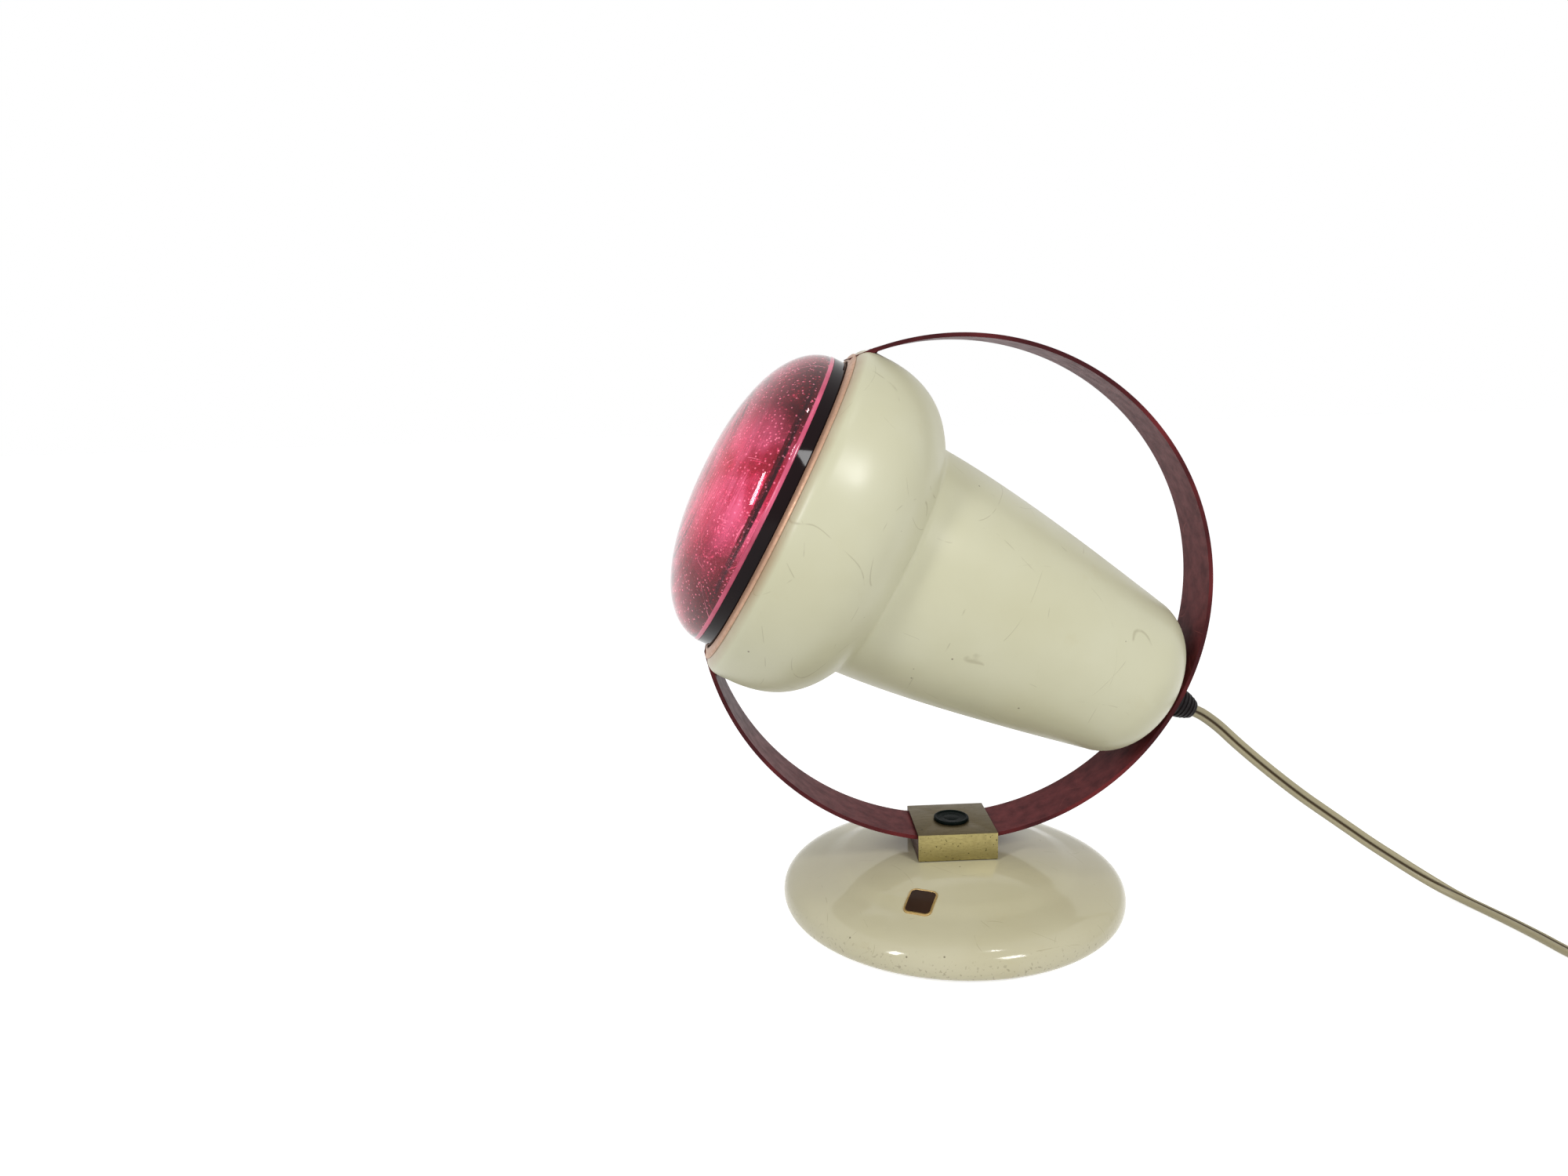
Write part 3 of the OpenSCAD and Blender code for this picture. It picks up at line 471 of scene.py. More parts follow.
# The enamel softens the step, so it reads as a faint change of slope.
base_line = [(4.6, base_top), (19, base_top),
             *[(r, dome_height(r, min(step_soft, (r - 19) / 3))) for r in range(20, 60)],
             *[p for p in stepped if p[0] > 59.6 and p[1] < brim[1] - 1],
             *curve((base_r, edge_z), (base_r, edge_z / 2), (base_r - 1.5, 1), (foot_r, 0.6), 12)]
base_inner = offset_line(base_line, -base_wall)[::-1]
base = turned("base_dish", base_line + base_inner + [base_line[0]], sides=200)
base_paint, tree, shader = enamel("base_enamel", (0.585, 0.548, 0.385), 0.11, (0.10, 0.07, 0.04), 0.7, 0.05)
_, where = worn(tree, 1.0)
parts = add_node(tree, "ShaderNodeSeparateXYZ", {0: where}).outputs
dirt = reckon(tree, "MULTIPLY", scaled(tree, parts["Z"], 1, 0, 0.002, 0.012),
              scaled(tree, noise(tree, where, 800.0), 0, 0.6, 0.62, 0.68))
overpaint(tree, shader, dirt, (0.16, 0.11, 0.07))
base.data.materials.append(base_paint)
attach(base, "base")
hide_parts("base_shell")


def dress(finish, slot, *names):
    """Gives CAD nodes that keep their own shape a finish."""
    for name in names:
        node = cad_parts[name]
        node.data.materials.clear()
        node.data.materials.append(finish)


def raw_metal(name, colour, rough, pits=0.0, metallic=1.0):
    """Bare metal with a fine cast or brushed surface and a few pits."""
    made, tree, shader = new_finish(name)
    wear, where = worn(tree, 1.4)
    lines = noise(tree, where, 700.0, 3.0)
    tone = clouded(tree, wear, colour, times(colour, 0.78))
    tone = mix_colours(tree, scaled(tree, lines, 0, 0.5, 0.45, 0.75), tone, times(colour, 0.6))
    tone = mix_colours(tree, scaled(tree, wear["Chips"], 0, pits), tone, times(colour, 0.25))
    feed(tree, shader, {"Base Color": tone, "Metallic": metallic,
                        "Roughness": scaled(tree, lines, rough * 0.8, rough * 1.25, 0.3, 0.7),
                        "Normal": bumped(tree, lines, 0.2, 0.0001)})
    return made


def dull_plastic(name, colour, rough, gloss=0.5):
    """Moulded or pressed material with a fine grain."""
    made, tree, shader = new_finish(name)
    wear, _ = worn(tree, 1.2)
    tone = clouded(tree, wear, colour, times(colour, 0.75))
    tone = mix_colours(tree, scaled(tree, wear["Scratches"], 0, 0.5), tone,
                       tuple(min(1, c * 2 + 0.03) for c in colour))
    feed(tree, shader, {"Base Color": tone, "Specular IOR Level": gloss,
                        "Roughness": scaled(tree, wear["Grain"], rough * 0.8, rough * 1.2, 0.3, 0.7),
                        "Normal": bumped(tree, wear["Grain"], 0.2, 0.0001)})
    return made


zinc = raw_metal("zinc_plate", (0.56, 0.56, 0.55), 0.35)
blued = raw_metal("blued_spring", (0.30, 0.31, 0.34), 0.35)
dress(raw_metal("cast_iron", (0.12, 0.12, 0.12), 0.7, pits=0.5), "cast_weight", "base_weight")
dress(dull_plastic("brown_fibre", (0.20, 0.11, 0.06), 0.7), "fibre", "swivel_washer", "friction_pad")

# Felt punched to a disc and glued under the weight, with a fuzzy, slightly rounded edge.
pad_r, pad_t = 62, 2
pad_face = [(r, 0.02 if r % 4 else 0) for r in range(2, pad_r - 1, 2)]
felt = turned("felt_disc", [(0, 0), *pad_face, (pad_r - 0.7, 0), (pad_r - 0.15, 0.4), (pad_r, 1),
                            (pad_r - 0.15, 1.6), (pad_r - 0.7, pad_t), (0, pad_t)], sides=120, angle=60)
nap, tree, shader = new_finish("green_felt")
wear, where = worn(tree, 1.0)
fibres = noise(tree, where, 1400.0, 4.0, Distortion=2.0)
tone = mix_colours(tree, scaled(tree, fibres, 0, 1, 0.35, 0.65), (0.075, 0.088, 0.060), (0.030, 0.036, 0.024))
tone = mix_colours(tree, scaled(tree, wear["Cloud"], 0, 0.5, 0.45, 0.65), tone, (0.10, 0.095, 0.075))
feed(tree, shader, {"Base Color": tone, "Roughness": scaled(tree, wear["Grain"], 0.85, 1.0),
                    "Specular IOR Level": 0.1, "Sheen Weight": 0.4,
                    "Normal": bumped(tree, fibres, 0.6, 0.0004)})
felt.data.materials.append(nap)
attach(felt, "base")
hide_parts("base_pad")


def block(name, low, high):
    """A box between two corners, in mm."""
    bpy.ops.object.select_all(action="DESELECT")
    middle = [(a + b) / 2 * MM for a, b in zip(low, high)]
    bpy.ops.mesh.primitive_cube_add(size=1, location=middle)
    made = bpy.context.object
    made.name = name
    made.scale = [(b - a) * MM for a, b in zip(low, high)]
    bpy.ops.object.transform_apply(location=True, rotation=True, scale=True)
    return made


badge_l, badge_w, badge_corner, badge_t, badge_border = 13, 11, 2.5, 0.5, 0.5
badge_edge, badge_turn, badge_out = 0.1, 245, 45
badge = block("plain_badge", (-badge_l / 2, -badge_w / 2, 0), (badge_l / 2, badge_w / 2, badge_t))
bpy.ops.object.mode_set(mode="EDIT")
bpy.ops.mesh.select_mode(type="EDGE")
bpy.ops.mesh.select_all(action="DESELECT")
bpy.ops.object.mode_set(mode="OBJECT")
for e in badge.data.edges:
    a, b = (badge.data.vertices[i].co for i in e.vertices)
    e.select = abs(a.z - b.z) > 0.1 * MM
bpy.ops.object.mode_set(mode="EDIT")
bpy.ops.mesh.bevel(offset=badge_corner * MM, segments=10)
bpy.ops.mesh.select_mode(type="FACE")
bpy.ops.mesh.select_all(action="DESELECT")
bpy.ops.object.mode_set(mode="OBJECT")
for f in badge.data.polygons:
    f.select = f.normal.z > 0.9
bpy.ops.object.mode_set(mode="EDIT")
bpy.ops.mesh.inset(thickness=badge_edge * MM, depth=0.06 * MM)
bpy.ops.mesh.inset(thickness=badge_border * MM)
bpy.ops.mesh.inset(thickness=0.08 * MM, depth=-0.08 * MM)
for way, reach in (((1, 0, 0), 6), ((0, 1, 0), 5)):
    for k in range(-reach, reach + 1):
        bpy.ops.mesh.select_all(action="SELECT")
        bpy.ops.mesh.bisect(plane_co=[k * MM * c for c in way], plane_no=way)
bpy.ops.object.mode_set(mode="OBJECT")
close_mesh(badge, 30)
lacquered = []
for f in badge.data.polygons:
    x, y = (abs(f.center[k]) / MM - half + badge_corner for k, half in ((0, badge_l / 2), (1, badge_w / 2)))
    reach = math.hypot(x, y) if x > 0 and y > 0 else max(x, y)
    lacquered.append(f.normal.z > 0.9 and reach < badge_corner - badge_edge - badge_border - 0.05)
badge.data.transform(Matrix.Rotation(math.radians(badge_turn), 4, "Z")
                     @ Matrix.Translation((badge_out * MM, 0, 0)))
for v in badge.data.vertices:
    v.co.z += (dome_height(math.hypot(v.co.x, v.co.y) / MM, step_soft) + 0.06) * MM
lacquer, tree, shader = new_finish("brown_lacquer")
wear, _ = worn(tree, 2.0)
tone = clouded(tree, wear, (0.040, 0.018, 0.010), (0.026, 0.012, 0.007))
tone = mix_colours(tree, scaled(tree, wear["Chips"], 0, 0.6), tone, (0.35, 0.24, 0.10))
feed(tree, shader, {"Base Color": tone, "Roughness": scaled(tree, wear["Grain"], 0.25, 0.38),
                    "Specular IOR Level": 0.15})
badge.data.materials.append(raw_metal("gilt_edge", (0.72, 0.50, 0.22), 0.3))
badge.data.materials.append(lacquer)
for f, painted in zip(badge.data.polygons, lacquered):
    f.material_index = 1 if painted else 0
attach(badge, "base")
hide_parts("badge")


# ---- Clamp ----
# A brass block that turns on the base. The hoop slides through it over a spring-loaded pad,
# and the stem of a black button closes the hole above the pad. All is held by one pivot stud.
def cut_away(piece, *cutters, joined=False):
    """Cuts the cutters out of the piece, or joins them to it, and removes them."""
    for cutter in cutters:
        only(piece)
        step = piece.modifiers.new("shape", "BOOLEAN")
        step.operation = "UNION" if joined else "DIFFERENCE"
        step.solver = "EXACT"
        step.object = cutter
        bpy.ops.object.modifier_apply(modifier=step.name)
        bpy.data.objects.remove(cutter)


def soften(piece, width, segments=3, angle=40):
    """Rounds the edges sharper than the angle."""
    only(piece)
    step = piece.modifiers.new("edges", "BEVEL")
    step.width, step.segments, step.limit_method = width * MM, segments, "ANGLE"
    step.angle_limit = math.radians(angle)
    step.use_clamp_overlap = True
    bpy.ops.object.modifier_apply(modifier=step.name)
    bpy.ops.object.shade_smooth_by_angle(angle=math.radians(35))


def drum(name, r, low, high, sides=48):
    """A plain round cutter or stem about Z."""
    return turned(name, [(0, low), (r, low), (r, high), (0, high)], sides=sides)


hoop_r, hoop_w, hoop_t, slide_gap = 100, 26, 1.6, 0.15
hoop_ri, half_w, half_t = hoop_r - hoop_t, hoop_w / 2, hoop_t / 2
clamp_half, clamp_z, clamp_top, strip_z = 16, 24.0, 35.0, 32.6


def hoop_ring(name, gap):
    """A full ring of the strip's section, grown by gap, standing in the XZ plane."""
    w, r0, r1 = half_w + gap, hoop_ri - gap, hoop_r + gap
    ring = turned(name, [(r0, -w), (r1, -w), (r1, w), (r0, w), (r0, -w)], sides=240)
    ring.data.transform(Matrix.Translation(hoop_centre) @ Matrix.Rotation(math.radians(90), 4, "X"))
    return ring


clamp = block("clamp_body", (-clamp_half, -clamp_half, clamp_z), (clamp_half, clamp_half, clamp_top))
cut_away(clamp, hoop_ring("slot", slide_gap),
         drum("pocket", 9, clamp_z + 2.5, strip_z - half_t, sides=64),
         drum("hole", 4.05, clamp_z - 1, clamp_z + 4),
         drum("eye", 5.05, strip_z - half_t, 37))
soften(clamp, 0.3)


def brass(name, colour, direction, line_share, pit_share, rough):
    """Old brass: fine lines along one direction, a cloud of tarnish and small pits."""
    made, tree, shader = new_finish(name)
    wear, where = worn(tree, 1.6)
    laid = add_node(tree, "ShaderNodeMapping", {"Vector": where, "Scale": direction}).outputs[0]
    lines = noise(tree, laid, 1500.0)
    pits = noise(tree, where, 950.0, 3.0)
    tone = clouded(tree, wear, colour, times(colour, 0.8), 0.35, 0.65)
    tone = mix_colours(tree, scaled(tree, lines, 0, line_share, 0.42, 0.72), tone, times(colour, 0.5))
    tone = mix_colours(tree, scaled(tree, pits, 0, pit_share, 0.64, 0.70), tone, times(colour, 0.12))
    feed(tree, shader, {"Base Color": tone, "Metallic": 0.85,
                        "Roughness": scaled(tree, lines, rough * 0.85, rough * 1.3, 0.3, 0.7),
                        "Normal": bumped(tree, lines, 0.3, 0.0001)})
    return made


# The milled front and back are plain pitted brass. Darker copies are painted shade on the top and
# slanted faces and painted shadow on the ends and underside; a bright copy on the upper edges is a painted
# highlight.
for old_brass in (("milled_brass", (0.37, 0.31, 0.125), (0.35, 1, 1), 0.35, 0.9, 0.36),
                  ("painted_shade_brass", (0.130, 0.098, 0.045), (0.15, 3, 3), 0.35, 0.6, 0.42),
                  ("painted_highlight_edge", (0.78, 0.70, 0.40), (1, 1, 1), 0.3, 0.5, 0.28),
                  ("painted_shadow_brass", (0.075, 0.036, 0.024), (1, 0.2, 1), 0.4, 0.6, 0.5)):
    clamp.data.materials.append(brass(*old_brass))
milled, painted_shade, painted_highlight, painted_shadow = range(4)
# Each face gets the plain brass or one of the painted shade, shadow and highlight copies, by which way it
# faces.
for f in clamp.data.polygons:
    n = f.normal
    f.material_index = milled
    if abs(n.x) > 0.98 or n.z < -0.3:
        f.material_index = painted_shadow
    elif f.center.z > (clamp_top - 0.02) * MM:
        f.material_index = painted_shade
    elif f.center.z > (clamp_top - 0.3) * MM and abs(n.y) > 0.2 and f.area < 2e-5:
        f.material_index = painted_highlight
    elif abs(n.y) < 0.9:
        f.material_index = painted_shade
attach(clamp, "clamp")
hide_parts("clamp_block")

button_line = [(0, 0), (6.95, 0), (7.15, 0.2), (7.15, 0.85), (7.05, 1.1), (6.85, 1.25), (6.6, 1.3),
               (6.3, 1.28), (6.1, 1.15), (5.95, 0.95), (5.7, 0.82), (5.2, 0.78), (3.4, 0.76), (3.2, 0.7),
               (3.0, 0.76), (0, 0.82)]
button = turned("friction_knob", [(r, clamp_top + z) for r, z in button_line], sides=96, angle=60)
cut_away(button, drum("stem", 5, clamp_top - 2.1, clamp_top + 0.3), joined=True)
bpy.ops.object.shade_smooth_by_angle(angle=math.radians(50))
button.data.materials.append(dull_plastic("black_phenolic", (0.004, 0.007, 0.006), 0.3, 0.015))
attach(button, "clamp")
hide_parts("friction_button")
dress(blued, "spring_steel", "pressure_spring", "spring_washer")
dress(zinc, "zinc_steel", "pivot_stud", "pivot_nut")

# ---- Hoop ----
# A strip of steel 26 mm wide, rolled into an open ring and enamelled oxblood. Two tabs at each
# end go through slits in the shade and are held inside by push-on clips.
shade_r, lip_s, waist_r, waist_s, tail_r, tail_round = 69.2, 77, 48.6, 29, 33, 18.6
mouth_r, rim_t, tube_r, shade_t = 61.3, 0.8, 5.05, 0.9
tail_s, tail_flat, lip_r = hoop_ri - 0.8, 15 / math.sqrt(3) + 0.2, mouth_r + rim_t + 0.3
tab_s = math.sqrt((hoop_ri + half_t)**2 - (shade_r + 0.5)**2)
tab_y, tab_half, tab_inner = 7, 3, mouth_r + rim_t + 1.2
shade_line = [(tube_r, -tail_s), (tail_flat, -tail_s),
              *curve((tail_flat, -tail_s), (tail_flat + 9, -tail_s + 1.1), (tail_r - 3, -tail_s + 7.1),
                     (tail_r, -tail_s + tail_round), 16),
              *curve((tail_r, -tail_s + tail_round), (tail_r + 5, -tail_s + tail_round + 27),
                     (waist_r - 1.6, waist_s - 34), (waist_r, waist_s - 1), 20),
              *curve((waist_r, waist_s - 1), (waist_r + 0.2, waist_s + 0.5), (waist_r + 0.7, waist_s + 1.1),
                     (waist_r + 2, waist_s + 1.9), 8),
              *curve((waist_r + 2, waist_s + 1.9), (waist_r + 11.4, waist_s + 7.5),
                     (shade_r - 0.6, lip_s - 32), (shade_r, lip_s - 14), 24),
              (shade_r, lip_s - 7.5),
              *curve((shade_r, lip_s - 7.5), (shade_r, lip_s - 3.2), (shade_r - 2.2, lip_s - 0.6),
                     (lip_r, lip_s), 12)]
on_head = Matrix.Translation(hoop_centre) @ Matrix.Rotation(head_tilt - math.radians(90), 4, "Y")


def tabs(name, gap, outer):
    """The four end tabs, or the slits for them, along the head's own axis."""
    made = []
    for side in (1, -1):
        for k in (-1, 1):
            x0, x1 = (tab_inner, outer) if side > 0 else (-outer, -tab_inner)
            made.append(block(f"{name}_{side}_{k}", (x0, k * tab_y - tab_half - gap, tab_s - half_t - gap),
                              (x1, k * tab_y + tab_half + gap, tab_s + half_t + gap)))
    return made


hoop = turned("hoop_strip", [(hoop_ri, -half_w), (hoop_r, -half_w), (hoop_r, half_w), (hoop_ri, half_w),
                             (hoop_ri, -half_w)], sides=300)
hoop.data.transform(Matrix.Rotation(math.radians(90), 4, "X"))
inside = turned("inside", [(0, -tail_s - slide_gap), *offset_line(shade_line, slide_gap)[1:],
                           (0, lip_s + slide_gap)], sides=160)
cut_away(hoop, inside, block("front", (-62, -20, 60), (62, 20, 110)))
cut_away(hoop, *tabs("tab", 0, shade_r + 1), joined=True)
cut_away(hoop, drum("tube_hole", tube_r, -106, -90))
hoop.data.transform(on_head)
soften(hoop, 0.22, segments=2, angle=50)
oxblood, tree, shader = new_finish("oxblood_enamel")
wear, where = worn(tree, 1.0)
mottle = noise(tree, where, 190.0, 5.0, Roughness=0.65)
tone = mix_colours(tree, scaled(tree, mottle, 0, 1, 0.35, 0.65), (0.150, 0.028, 0.031), (0.082, 0.016, 0.019))
tone = mix_colours(tree, scaled(tree, wear["Scratches"], 0, 0.5), tone, (0.30, 0.09, 0.08))
tone = mix_colours(tree, scaled(tree, wear["Chips"], 0, 0.7), tone, (0.03, 0.012, 0.012))
feed(tree, shader, {"Base Color": tone, "Roughness": scaled(tree, mottle, 0.30, 0.42, 0.3, 0.7),
                    "Specular IOR Level": 0.03, "Normal": bumped(tree, mottle, 0.12, 0.0002)})
hoop.data.materials.append(oxblood)
edge_paint, tree, shader = new_finish("thin_edge_enamel")
wear, _ = worn(tree, 1.0)
feed(tree, shader, {"Base Color": clouded(tree, wear, (0.15, 0.022, 0.024), (0.055, 0.010, 0.012), 0.4, 0.6),
                    "Roughness": scaled(tree, wear["Grain"], 0.25, 0.40), "Specular IOR Level": 0.08})
hoop.data.materials.append(edge_paint)
for f in hoop.data.polygons:
    f.material_index = 1 if abs(f.normal.y) > 0.3 else 0
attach(hoop, "head")
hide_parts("hoop")
dress(blued, "spring_steel", "hoop_clips")

# ---- Shade ----
# A shell spun in one piece from thin sheet and enamelled cream: a rounded tail, a long cone, a
# pinched waist and a full bulge round the bulb. Two slits on each side take the hoop's tabs.
shade = turned("shade_shell", shade_line + offset_line(shade_line, shade_t)[::-1] + [shade_line[0]], sides=200)
cut_away(shade, *tabs("slit", slide_gap, shade_r + 5))
shade.data.transform(on_head)
close_mesh(shade, 30)


def head_polar(tree, where):
    """How far forward on the head's axis a point is, how far from it and how high across it."""
    def vector(operation, *values):
        return add_node(tree, "ShaderNodeVectorMath", dict(enumerate(values)), operation=operation).outputs

    moved = vector("SUBTRACT", where, tuple(hoop_centre))[0]
    forward = vector("DOT_PRODUCT", moved, tuple(head_dir))["Value"]
    upward = vector("DOT_PRODUCT", moved, (head_dir.z, 0, -head_dir.x))["Value"]
    reach = reckon(tree, "POWER", vector("LENGTH", moved)["Value"], 2.0)
    left = reckon(tree, "SUBTRACT", reach, reckon(tree, "POWER", forward, 2.0))
    return forward, reckon(tree, "POWER", left, 0.5), upward


# A painted reflection of the bronze rim browns the cream along the lip, beside the rim.
shade_paint, tree, shader = enamel("shade_enamel", (0.63, 0.618, 0.445), 0.34, (0.12, 0.08, 0.05), 0.8, 0.06)
wear, where = worn(tree, 1.0)
forward, _, _ = head_polar(tree, where)
painted_rim_reflection = reckon(tree, "MULTIPLY", scaled(tree, forward, 0, 0.9, (lip_s - 4) * MM, lip_s * MM),
                 scaled(tree, wear["Cloud"], 0.4, 1, 0.35, 0.6))
overpaint(tree, shader, painted_rim_reflection, (0.36, 0.20, 0.10))
shade.data.materials.append(shade_paint)
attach(shade, "head")
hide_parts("shade")

# ---- Bronze rim ----
# A thin turned ring in bronze lacquer, pressed into the mouth of the shade round the bulb.
# Its flange follows the shade's lip, a little proud of it, and slopes back to a thin edge.
rim_profile = [(0, -7), (0, 0.6), (0.15, 0.95), (0.45, 1.15), (0.9, 1.2), (3.1, 0.5), (3.6, 0.22), (3.9, -0.2),
               (4.0, -0.62), (3.5, -0.46), (2.4, -0.13), (1.1, 0.08), (rim_t, -0.2), (rim_t, -7), (0, -7)]
rim = turned("mouth_rim", [(mouth_r + r, lip_s + z) for r, z in rim_profile], sides=200)
rim.data.transform(on_head)
rim.data.materials.append(raw_metal("bronze_lacquer", (0.60, 0.36, 0.235), 0.45, pits=0.4, metallic=0.4))
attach(rim, "head")
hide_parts("rim_ring")

# ---- Bulb ----
# A pressed-glass reflector bulb: a ruby lens fused at a bright seam to a body that is silvered
# inside, its outer band painted near black as shade, with a glass stem, a coiled filament and a screw cap.
bulb_r, seam_s, lens_h, glass_t, band_h, neck_r, cap_r, cap_len = 60.5, 82.8, 27, 2.5, 11, 17, 13.1, 24
cap_s = seam_s - 105 + 2.2
lens_dome = curve((bulb_r, seam_s), (bulb_r - 1.5, seam_s + lens_h * 0.6), (bulb_r * 0.62, seam_s + lens_h),
                  (0, seam_s + lens_h), 40)
lens_line = [(bulb_r, seam_s), *lens_dome]
lens_inner = [(r, max(z, seam_s)) for r, z in offset_line(lens_line, glass_t) if r > 0.3]
bead = [(bulb_r - 0.15, seam_s + 0.05), (bulb_r - 0.02, seam_s + 0.35), (bulb_r - 0.02, seam_s + 0.9),
        (bulb_r - 0.12, seam_s + 1.3), (bulb_r - 0.42, seam_s + 1.6)]
lens_outer = bead + [p for p in lens_dome if p[1] > seam_s + 2.2]
lens_outer[-1:] = [(0, seam_s + lens_h)]
lens = turned("ruby_lens", lens_outer + [(0, seam_s + lens_h - glass_t)] + lens_inner[::-1][:-1]
              + [(bulb_r - glass_t, seam_s + 0.05), bead[0]], sides=200)
on_bead = [f.center.z < (seam_s + 1.7) * MM and f.center.xy.dot(f.normal.xy) > 0 for f in lens.data.polygons]
lens.data.transform(on_head)

# Ruby glass takes its colour from its depth, and painted shade darkens it above and below the axis,
# most at the seam. Its face is stippled with pits and ringed by the mould; pits and scratches are painted
# glints.
ruby, tree, shader = new_finish("ruby_glass")
wear, where = worn(tree, 1.0)
forward, out, upward = head_polar(tree, where)
ripple = add_node(tree, "ShaderNodeCombineXYZ", {"X": forward, "Y": out}).outputs[0]
swirl = noise(tree, ripple, 210.0, 3.0)
flow = noise(tree, where, 42.0, 5.0, Distortion=0.6)
tone = mix_colours(tree, scaled(tree, flow, 0, 1, 0.46, 0.62), (1.0, 0.70, 0.80), (0.66, 0.13, 0.24))
tone = mix_colours(tree, scaled(tree, swirl, 0, 0.6, 0.52, 0.70), tone, (0.50, 0.07, 0.13))
# Painted shade: darker above and below the head's axis, darkest next to the seam.
ragged = reckon(tree, "MULTIPLY_ADD", flow, 0.03, reckon(tree, "ABSOLUTE", upward))
painted_shade_mask = reckon(tree, "MULTIPLY", scaled(tree, ragged, 0, 1, 0.028, 0.050),
                scaled(tree, forward, 1.0, 0.40, 0.088, 0.108))
tone = mix_colours(tree, painted_shade_mask, tone, (0.20, 0.015, 0.04))
pits = add_node(tree, "ShaderNodeTexVoronoi", {"Vector": where, "Scale": 700.0}).outputs
pit_tone = add_node(tree, "ShaderNodeSeparateColor", {0: pits["Color"]}).outputs[1]
pitted = reckon(tree, "MULTIPLY", scaled(tree, pits["Distance"], 0, 1, 0.30, 0.14),
                reckon(tree, "GREATER_THAN", pit_tone, 0.45))
# Painted glints: the pits and scratches are painted pale and given a faint glow.
painted_glints = reckon(tree, "MAXIMUM", pitted, wear["Scratches"])
feed(tree, shader, {"Base Color": mix_colours(tree, painted_glints, tone, (1.0, 0.90, 0.92)),
                    "Transmission Weight": 1.0, "IOR": 1.5, "Specular IOR Level": 0.14,
                    "Specular Tint": (1.0, 0.62, 0.68, 1), "Emission Color": (1.0, 0.30, 0.42, 1),
                    "Emission Strength": scaled(tree, painted_glints, 0, 0.5),
                    "Roughness": scaled(tree, wear["Grain"], 0.01, 0.05),
                    "Normal": bumped(tree, reckon(tree, "MULTIPLY_ADD", swirl, 1.2, flow), 0.22, 0.0005)})
depth = add_node(tree, "ShaderNodeVolumeAbsorption", {"Color": (0.97, 0.36, 0.58, 1), "Density": 380.0})
tree.links.new(depth.outputs[0], tree.nodes["Material Output"].inputs["Volume"])
lens.data.materials.append(ruby)
fused, tree, shader = new_finish("fused_seam")
wear, _ = worn(tree, 1.5)
feed(tree, shader, {"Base Color": clouded(tree, wear, (0.80, 0.13, 0.25), (0.42, 0.035, 0.09), 0.35, 0.65),
                    "Roughness": scaled(tree, wear["Grain"], 0.05, 0.2), "Specular IOR Level": 0.4})
lens.data.materials.append(fused)
for f, bright in zip(lens.data.polygons, on_bead):
    f.material_index = 1 if bright else 0
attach(lens, "head")
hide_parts("bulb_lens")

neck_in, cap_top = cap_r - 1.5, cap_s + cap_len
body_line = [(bulb_r, seam_s), (bulb_r, seam_s - band_h),
             *curve((bulb_r, seam_s - band_h), (bulb_r - 5, seam_s - band_h - 30), (neck_r + 14, cap_top + 16),
                    (neck_r, cap_top + 8), 32),
             *curve((neck_r, cap_top + 8), (neck_r - 1, cap_top + 4), (neck_in + 2, cap_top + 1.5),
                    (neck_in, cap_top + 0.2), 8),
             (neck_in, cap_s + 12)]
body_inner = [(r, min(z, seam_s)) for r, z in offset_line(body_line, -glass_t)]
body = turned("reflector_body", body_line + body_inner[::-1] + [body_line[0]], sides=200)
# The silvering starts below the band and is rippled; its dark clouds and its darkening towards the rim are
# painted shade.
silver, tree, shader = new_finish("silvered_inside")
wear, where = worn(tree, 1.0)
forward, out, _ = head_polar(tree, where)
ripple = add_node(tree, "ShaderNodeCombineXYZ", {"X": forward, "Y": out}).outputs[0]
rings = noise(tree, ripple, 160.0)
tone = mix_colours(tree, scaled(tree, rings, 0, 1, 0.40, 0.60), (0.95, 0.90, 0.84), (0.30, 0.27, 0.26))
tone = mix_colours(tree, scaled(tree, wear["Cloud"], 0, 0.7, 0.40, 0.66), tone, (0.06, 0.05, 0.05))
tone = mix_colours(tree, scaled(tree, forward, 0, 1, 0.050, 0.074), tone, (0.015, 0.010, 0.010))
feed(tree, shader, {"Base Color": tone, "Metallic": 1.0, "Roughness": scaled(tree, wear["Cloud"], 0.05, 0.16),
                    "Normal": bumped(tree, rings, 0.5, 0.0008)})
# The band is painted near black as shade: ruby glass with only darkness behind it.
band, tree, shader = new_finish("band_painted_shade")
wear, _ = worn(tree, 1.0)
feed(tree, shader, {"Base Color": clouded(tree, wear, (0.010, 0.003, 0.004), (0.004, 0.001, 0.002)),
                    "Roughness": scaled(tree, wear["Grain"], 0.03, 0.08), "Specular IOR Level": 0.12})
body.data.materials.append(band)
body.data.materials.append(silver)
for f in body.data.polygons:
    outward = f.normal.x * f.center.x + f.normal.y * f.center.y
    f.material_index = 1 if outward < -1e-6 and f.center.z < (seam_s - 0.5) * MM else 0
body.data.transform(on_head)
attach(body, "head")
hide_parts("bulb_reflector")

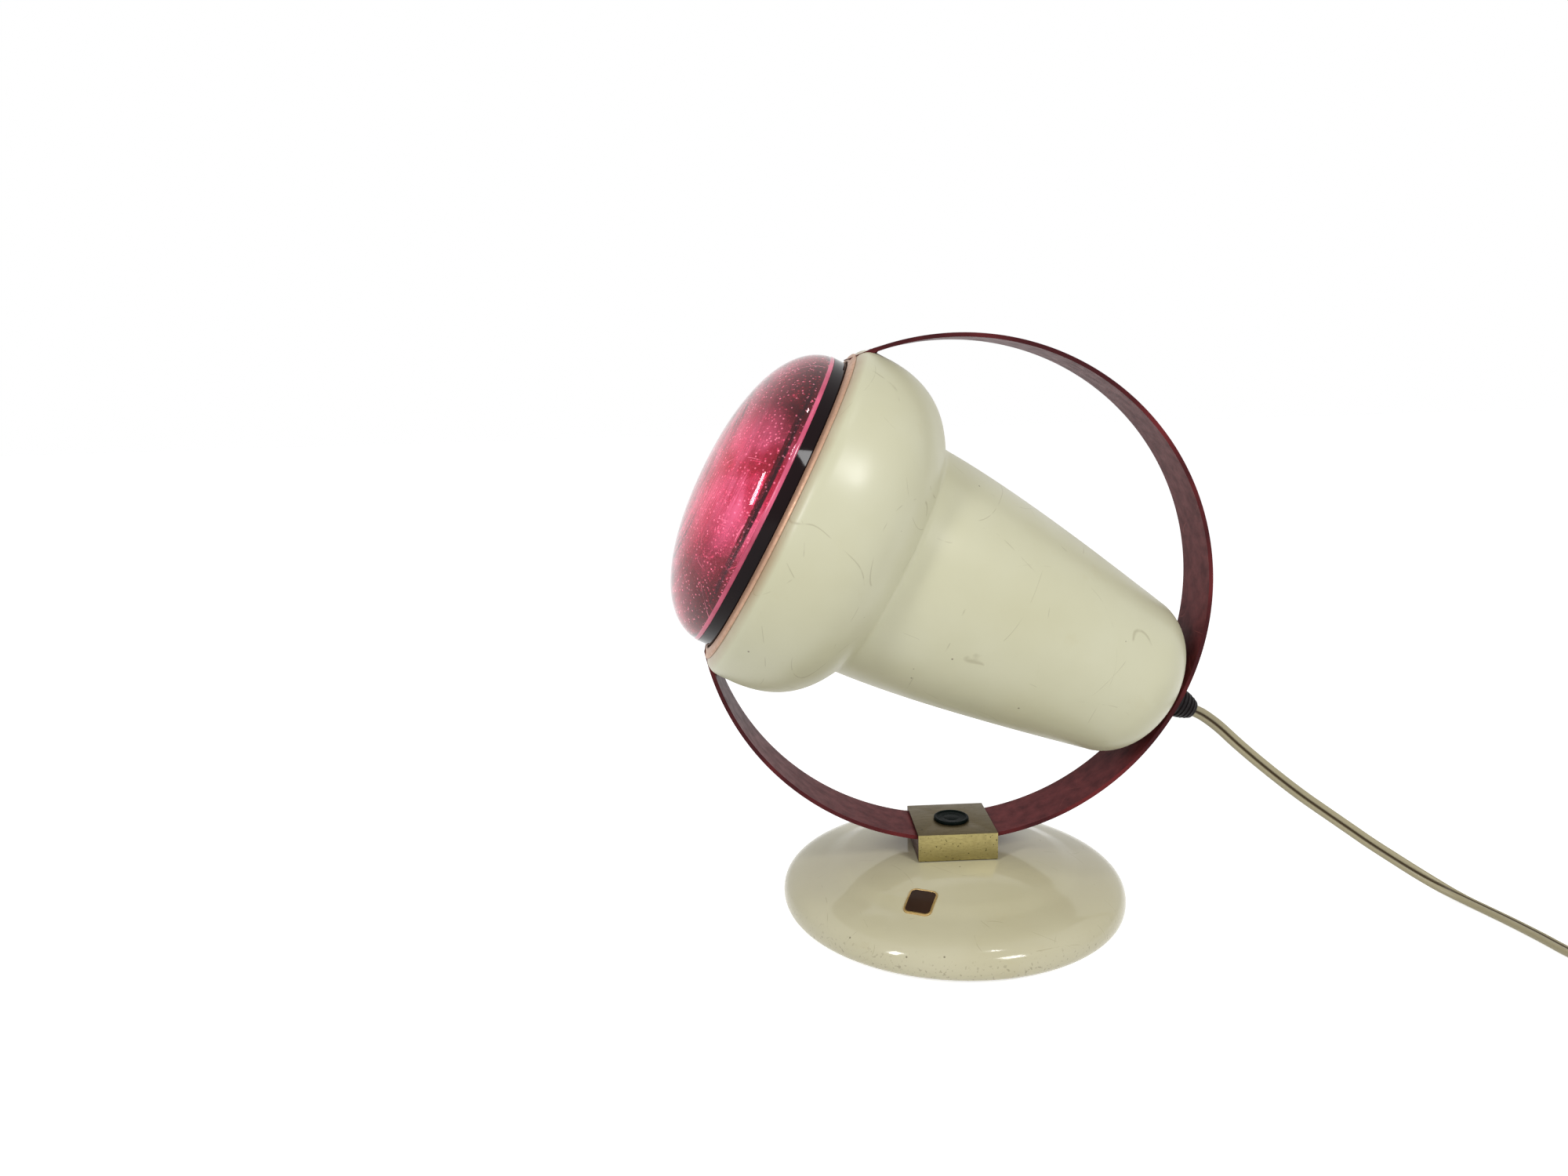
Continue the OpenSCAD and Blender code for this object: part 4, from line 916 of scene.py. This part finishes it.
clear, tree, shader = new_finish("clear_glass")
wear, _ = worn(tree, 1.0)
feed(tree, shader, {"Base Color": (0.9, 0.93, 0.93, 1), "Transmission Weight": 1.0,
                    "Roughness": scaled(tree, wear["Grain"], 0.01, 0.06)})
dress(clear, "clear_glass", "bulb_stem")
dress(raw_metal("tungsten_wire", (0.35, 0.33, 0.30), 0.4), "tungsten", "filament")
dress(raw_metal("bright_brass", (0.72, 0.56, 0.27), 0.25), "plain_brass", "bulb_cap", "screw_shell",
      "holder_contact", "terminals", "plug_pins", "plug_screw")
dress(dull_plastic("black_bakelite", (0.03, 0.024, 0.02), 0.3), "bakelite", "cap_insulator", "lampholder")
dress(zinc, "zinc_steel", "bulb_contact", "tail_tube", "tail_nut", "tail_washer")
dress(vinyl("core_vinyl", (0.60, 0.55, 0.42)), "lead_ivory", "core_wires")

# ---- Gland ----
# A short black rubber gland, ribbed and tapered, screwed on the threaded tube behind the hoop.
# It carries the lead and takes the strain off it.
ribs, rib_pitch, gland_r, gland_taper = 5, 1.8, 6.6, 2.4
gland_line = [(tube_r, -100.15), (gland_r - 0.2, -100.1), (gland_r, -100.3)]
for i in range(ribs):
    r = gland_r - gland_taper * (i / ribs)**2
    top = -101.4 - rib_pitch * i
    gland_line += [(r, top), (r - 0.1, top - 0.75), (r - 0.35, top - 0.95), (r - 0.55, top - 1.2),
                   (r - 0.6, top - 1.45), (r - 0.35, top - 1.7)]
gland_line += [(4.2, -110.9), (4.1, -111.5), (3.8, -112.0), (3.4, -gland_end), (0, -gland_end)]
gland = turned("ribbed_gland", gland_line, sides=96, angle=50)
gland.data.transform(on_head)
gland.data.materials.append(dull_plastic("black_rubber", (0.009, 0.006, 0.007), 0.5, 0.15))
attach(gland, "head")
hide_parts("gland")

# ---- Plug and tie ----
# A moulded ivory two-pin plug with a flexible sleeve, and a soft black strap round the coil.
# Both lie on the table past the edge of the photograph.
dress(vinyl("plug_vinyl", (0.64, 0.60, 0.45)), "plug_ivory", "plug_body")
tie_t = 0.8
tie_low, tie_high = (Vector(corner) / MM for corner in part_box("coil_tie"))
tie = block("coil_strap", tie_low, tie_high)
cut_away(tie, block("strap_inside", (tie_low.x - 1, tie_low.y + tie_t, tie_low.z + tie_t),
                    (tie_high.x + 1, tie_high.y - tie_t, tie_high.z - tie_t)))
soften(tie, 0.3, segments=4)
tie.data.materials.append(dull_plastic("soft_strap", (0.02, 0.02, 0.02), 0.55, 0.3))
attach(tie, "clamp")
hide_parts("coil_tie")
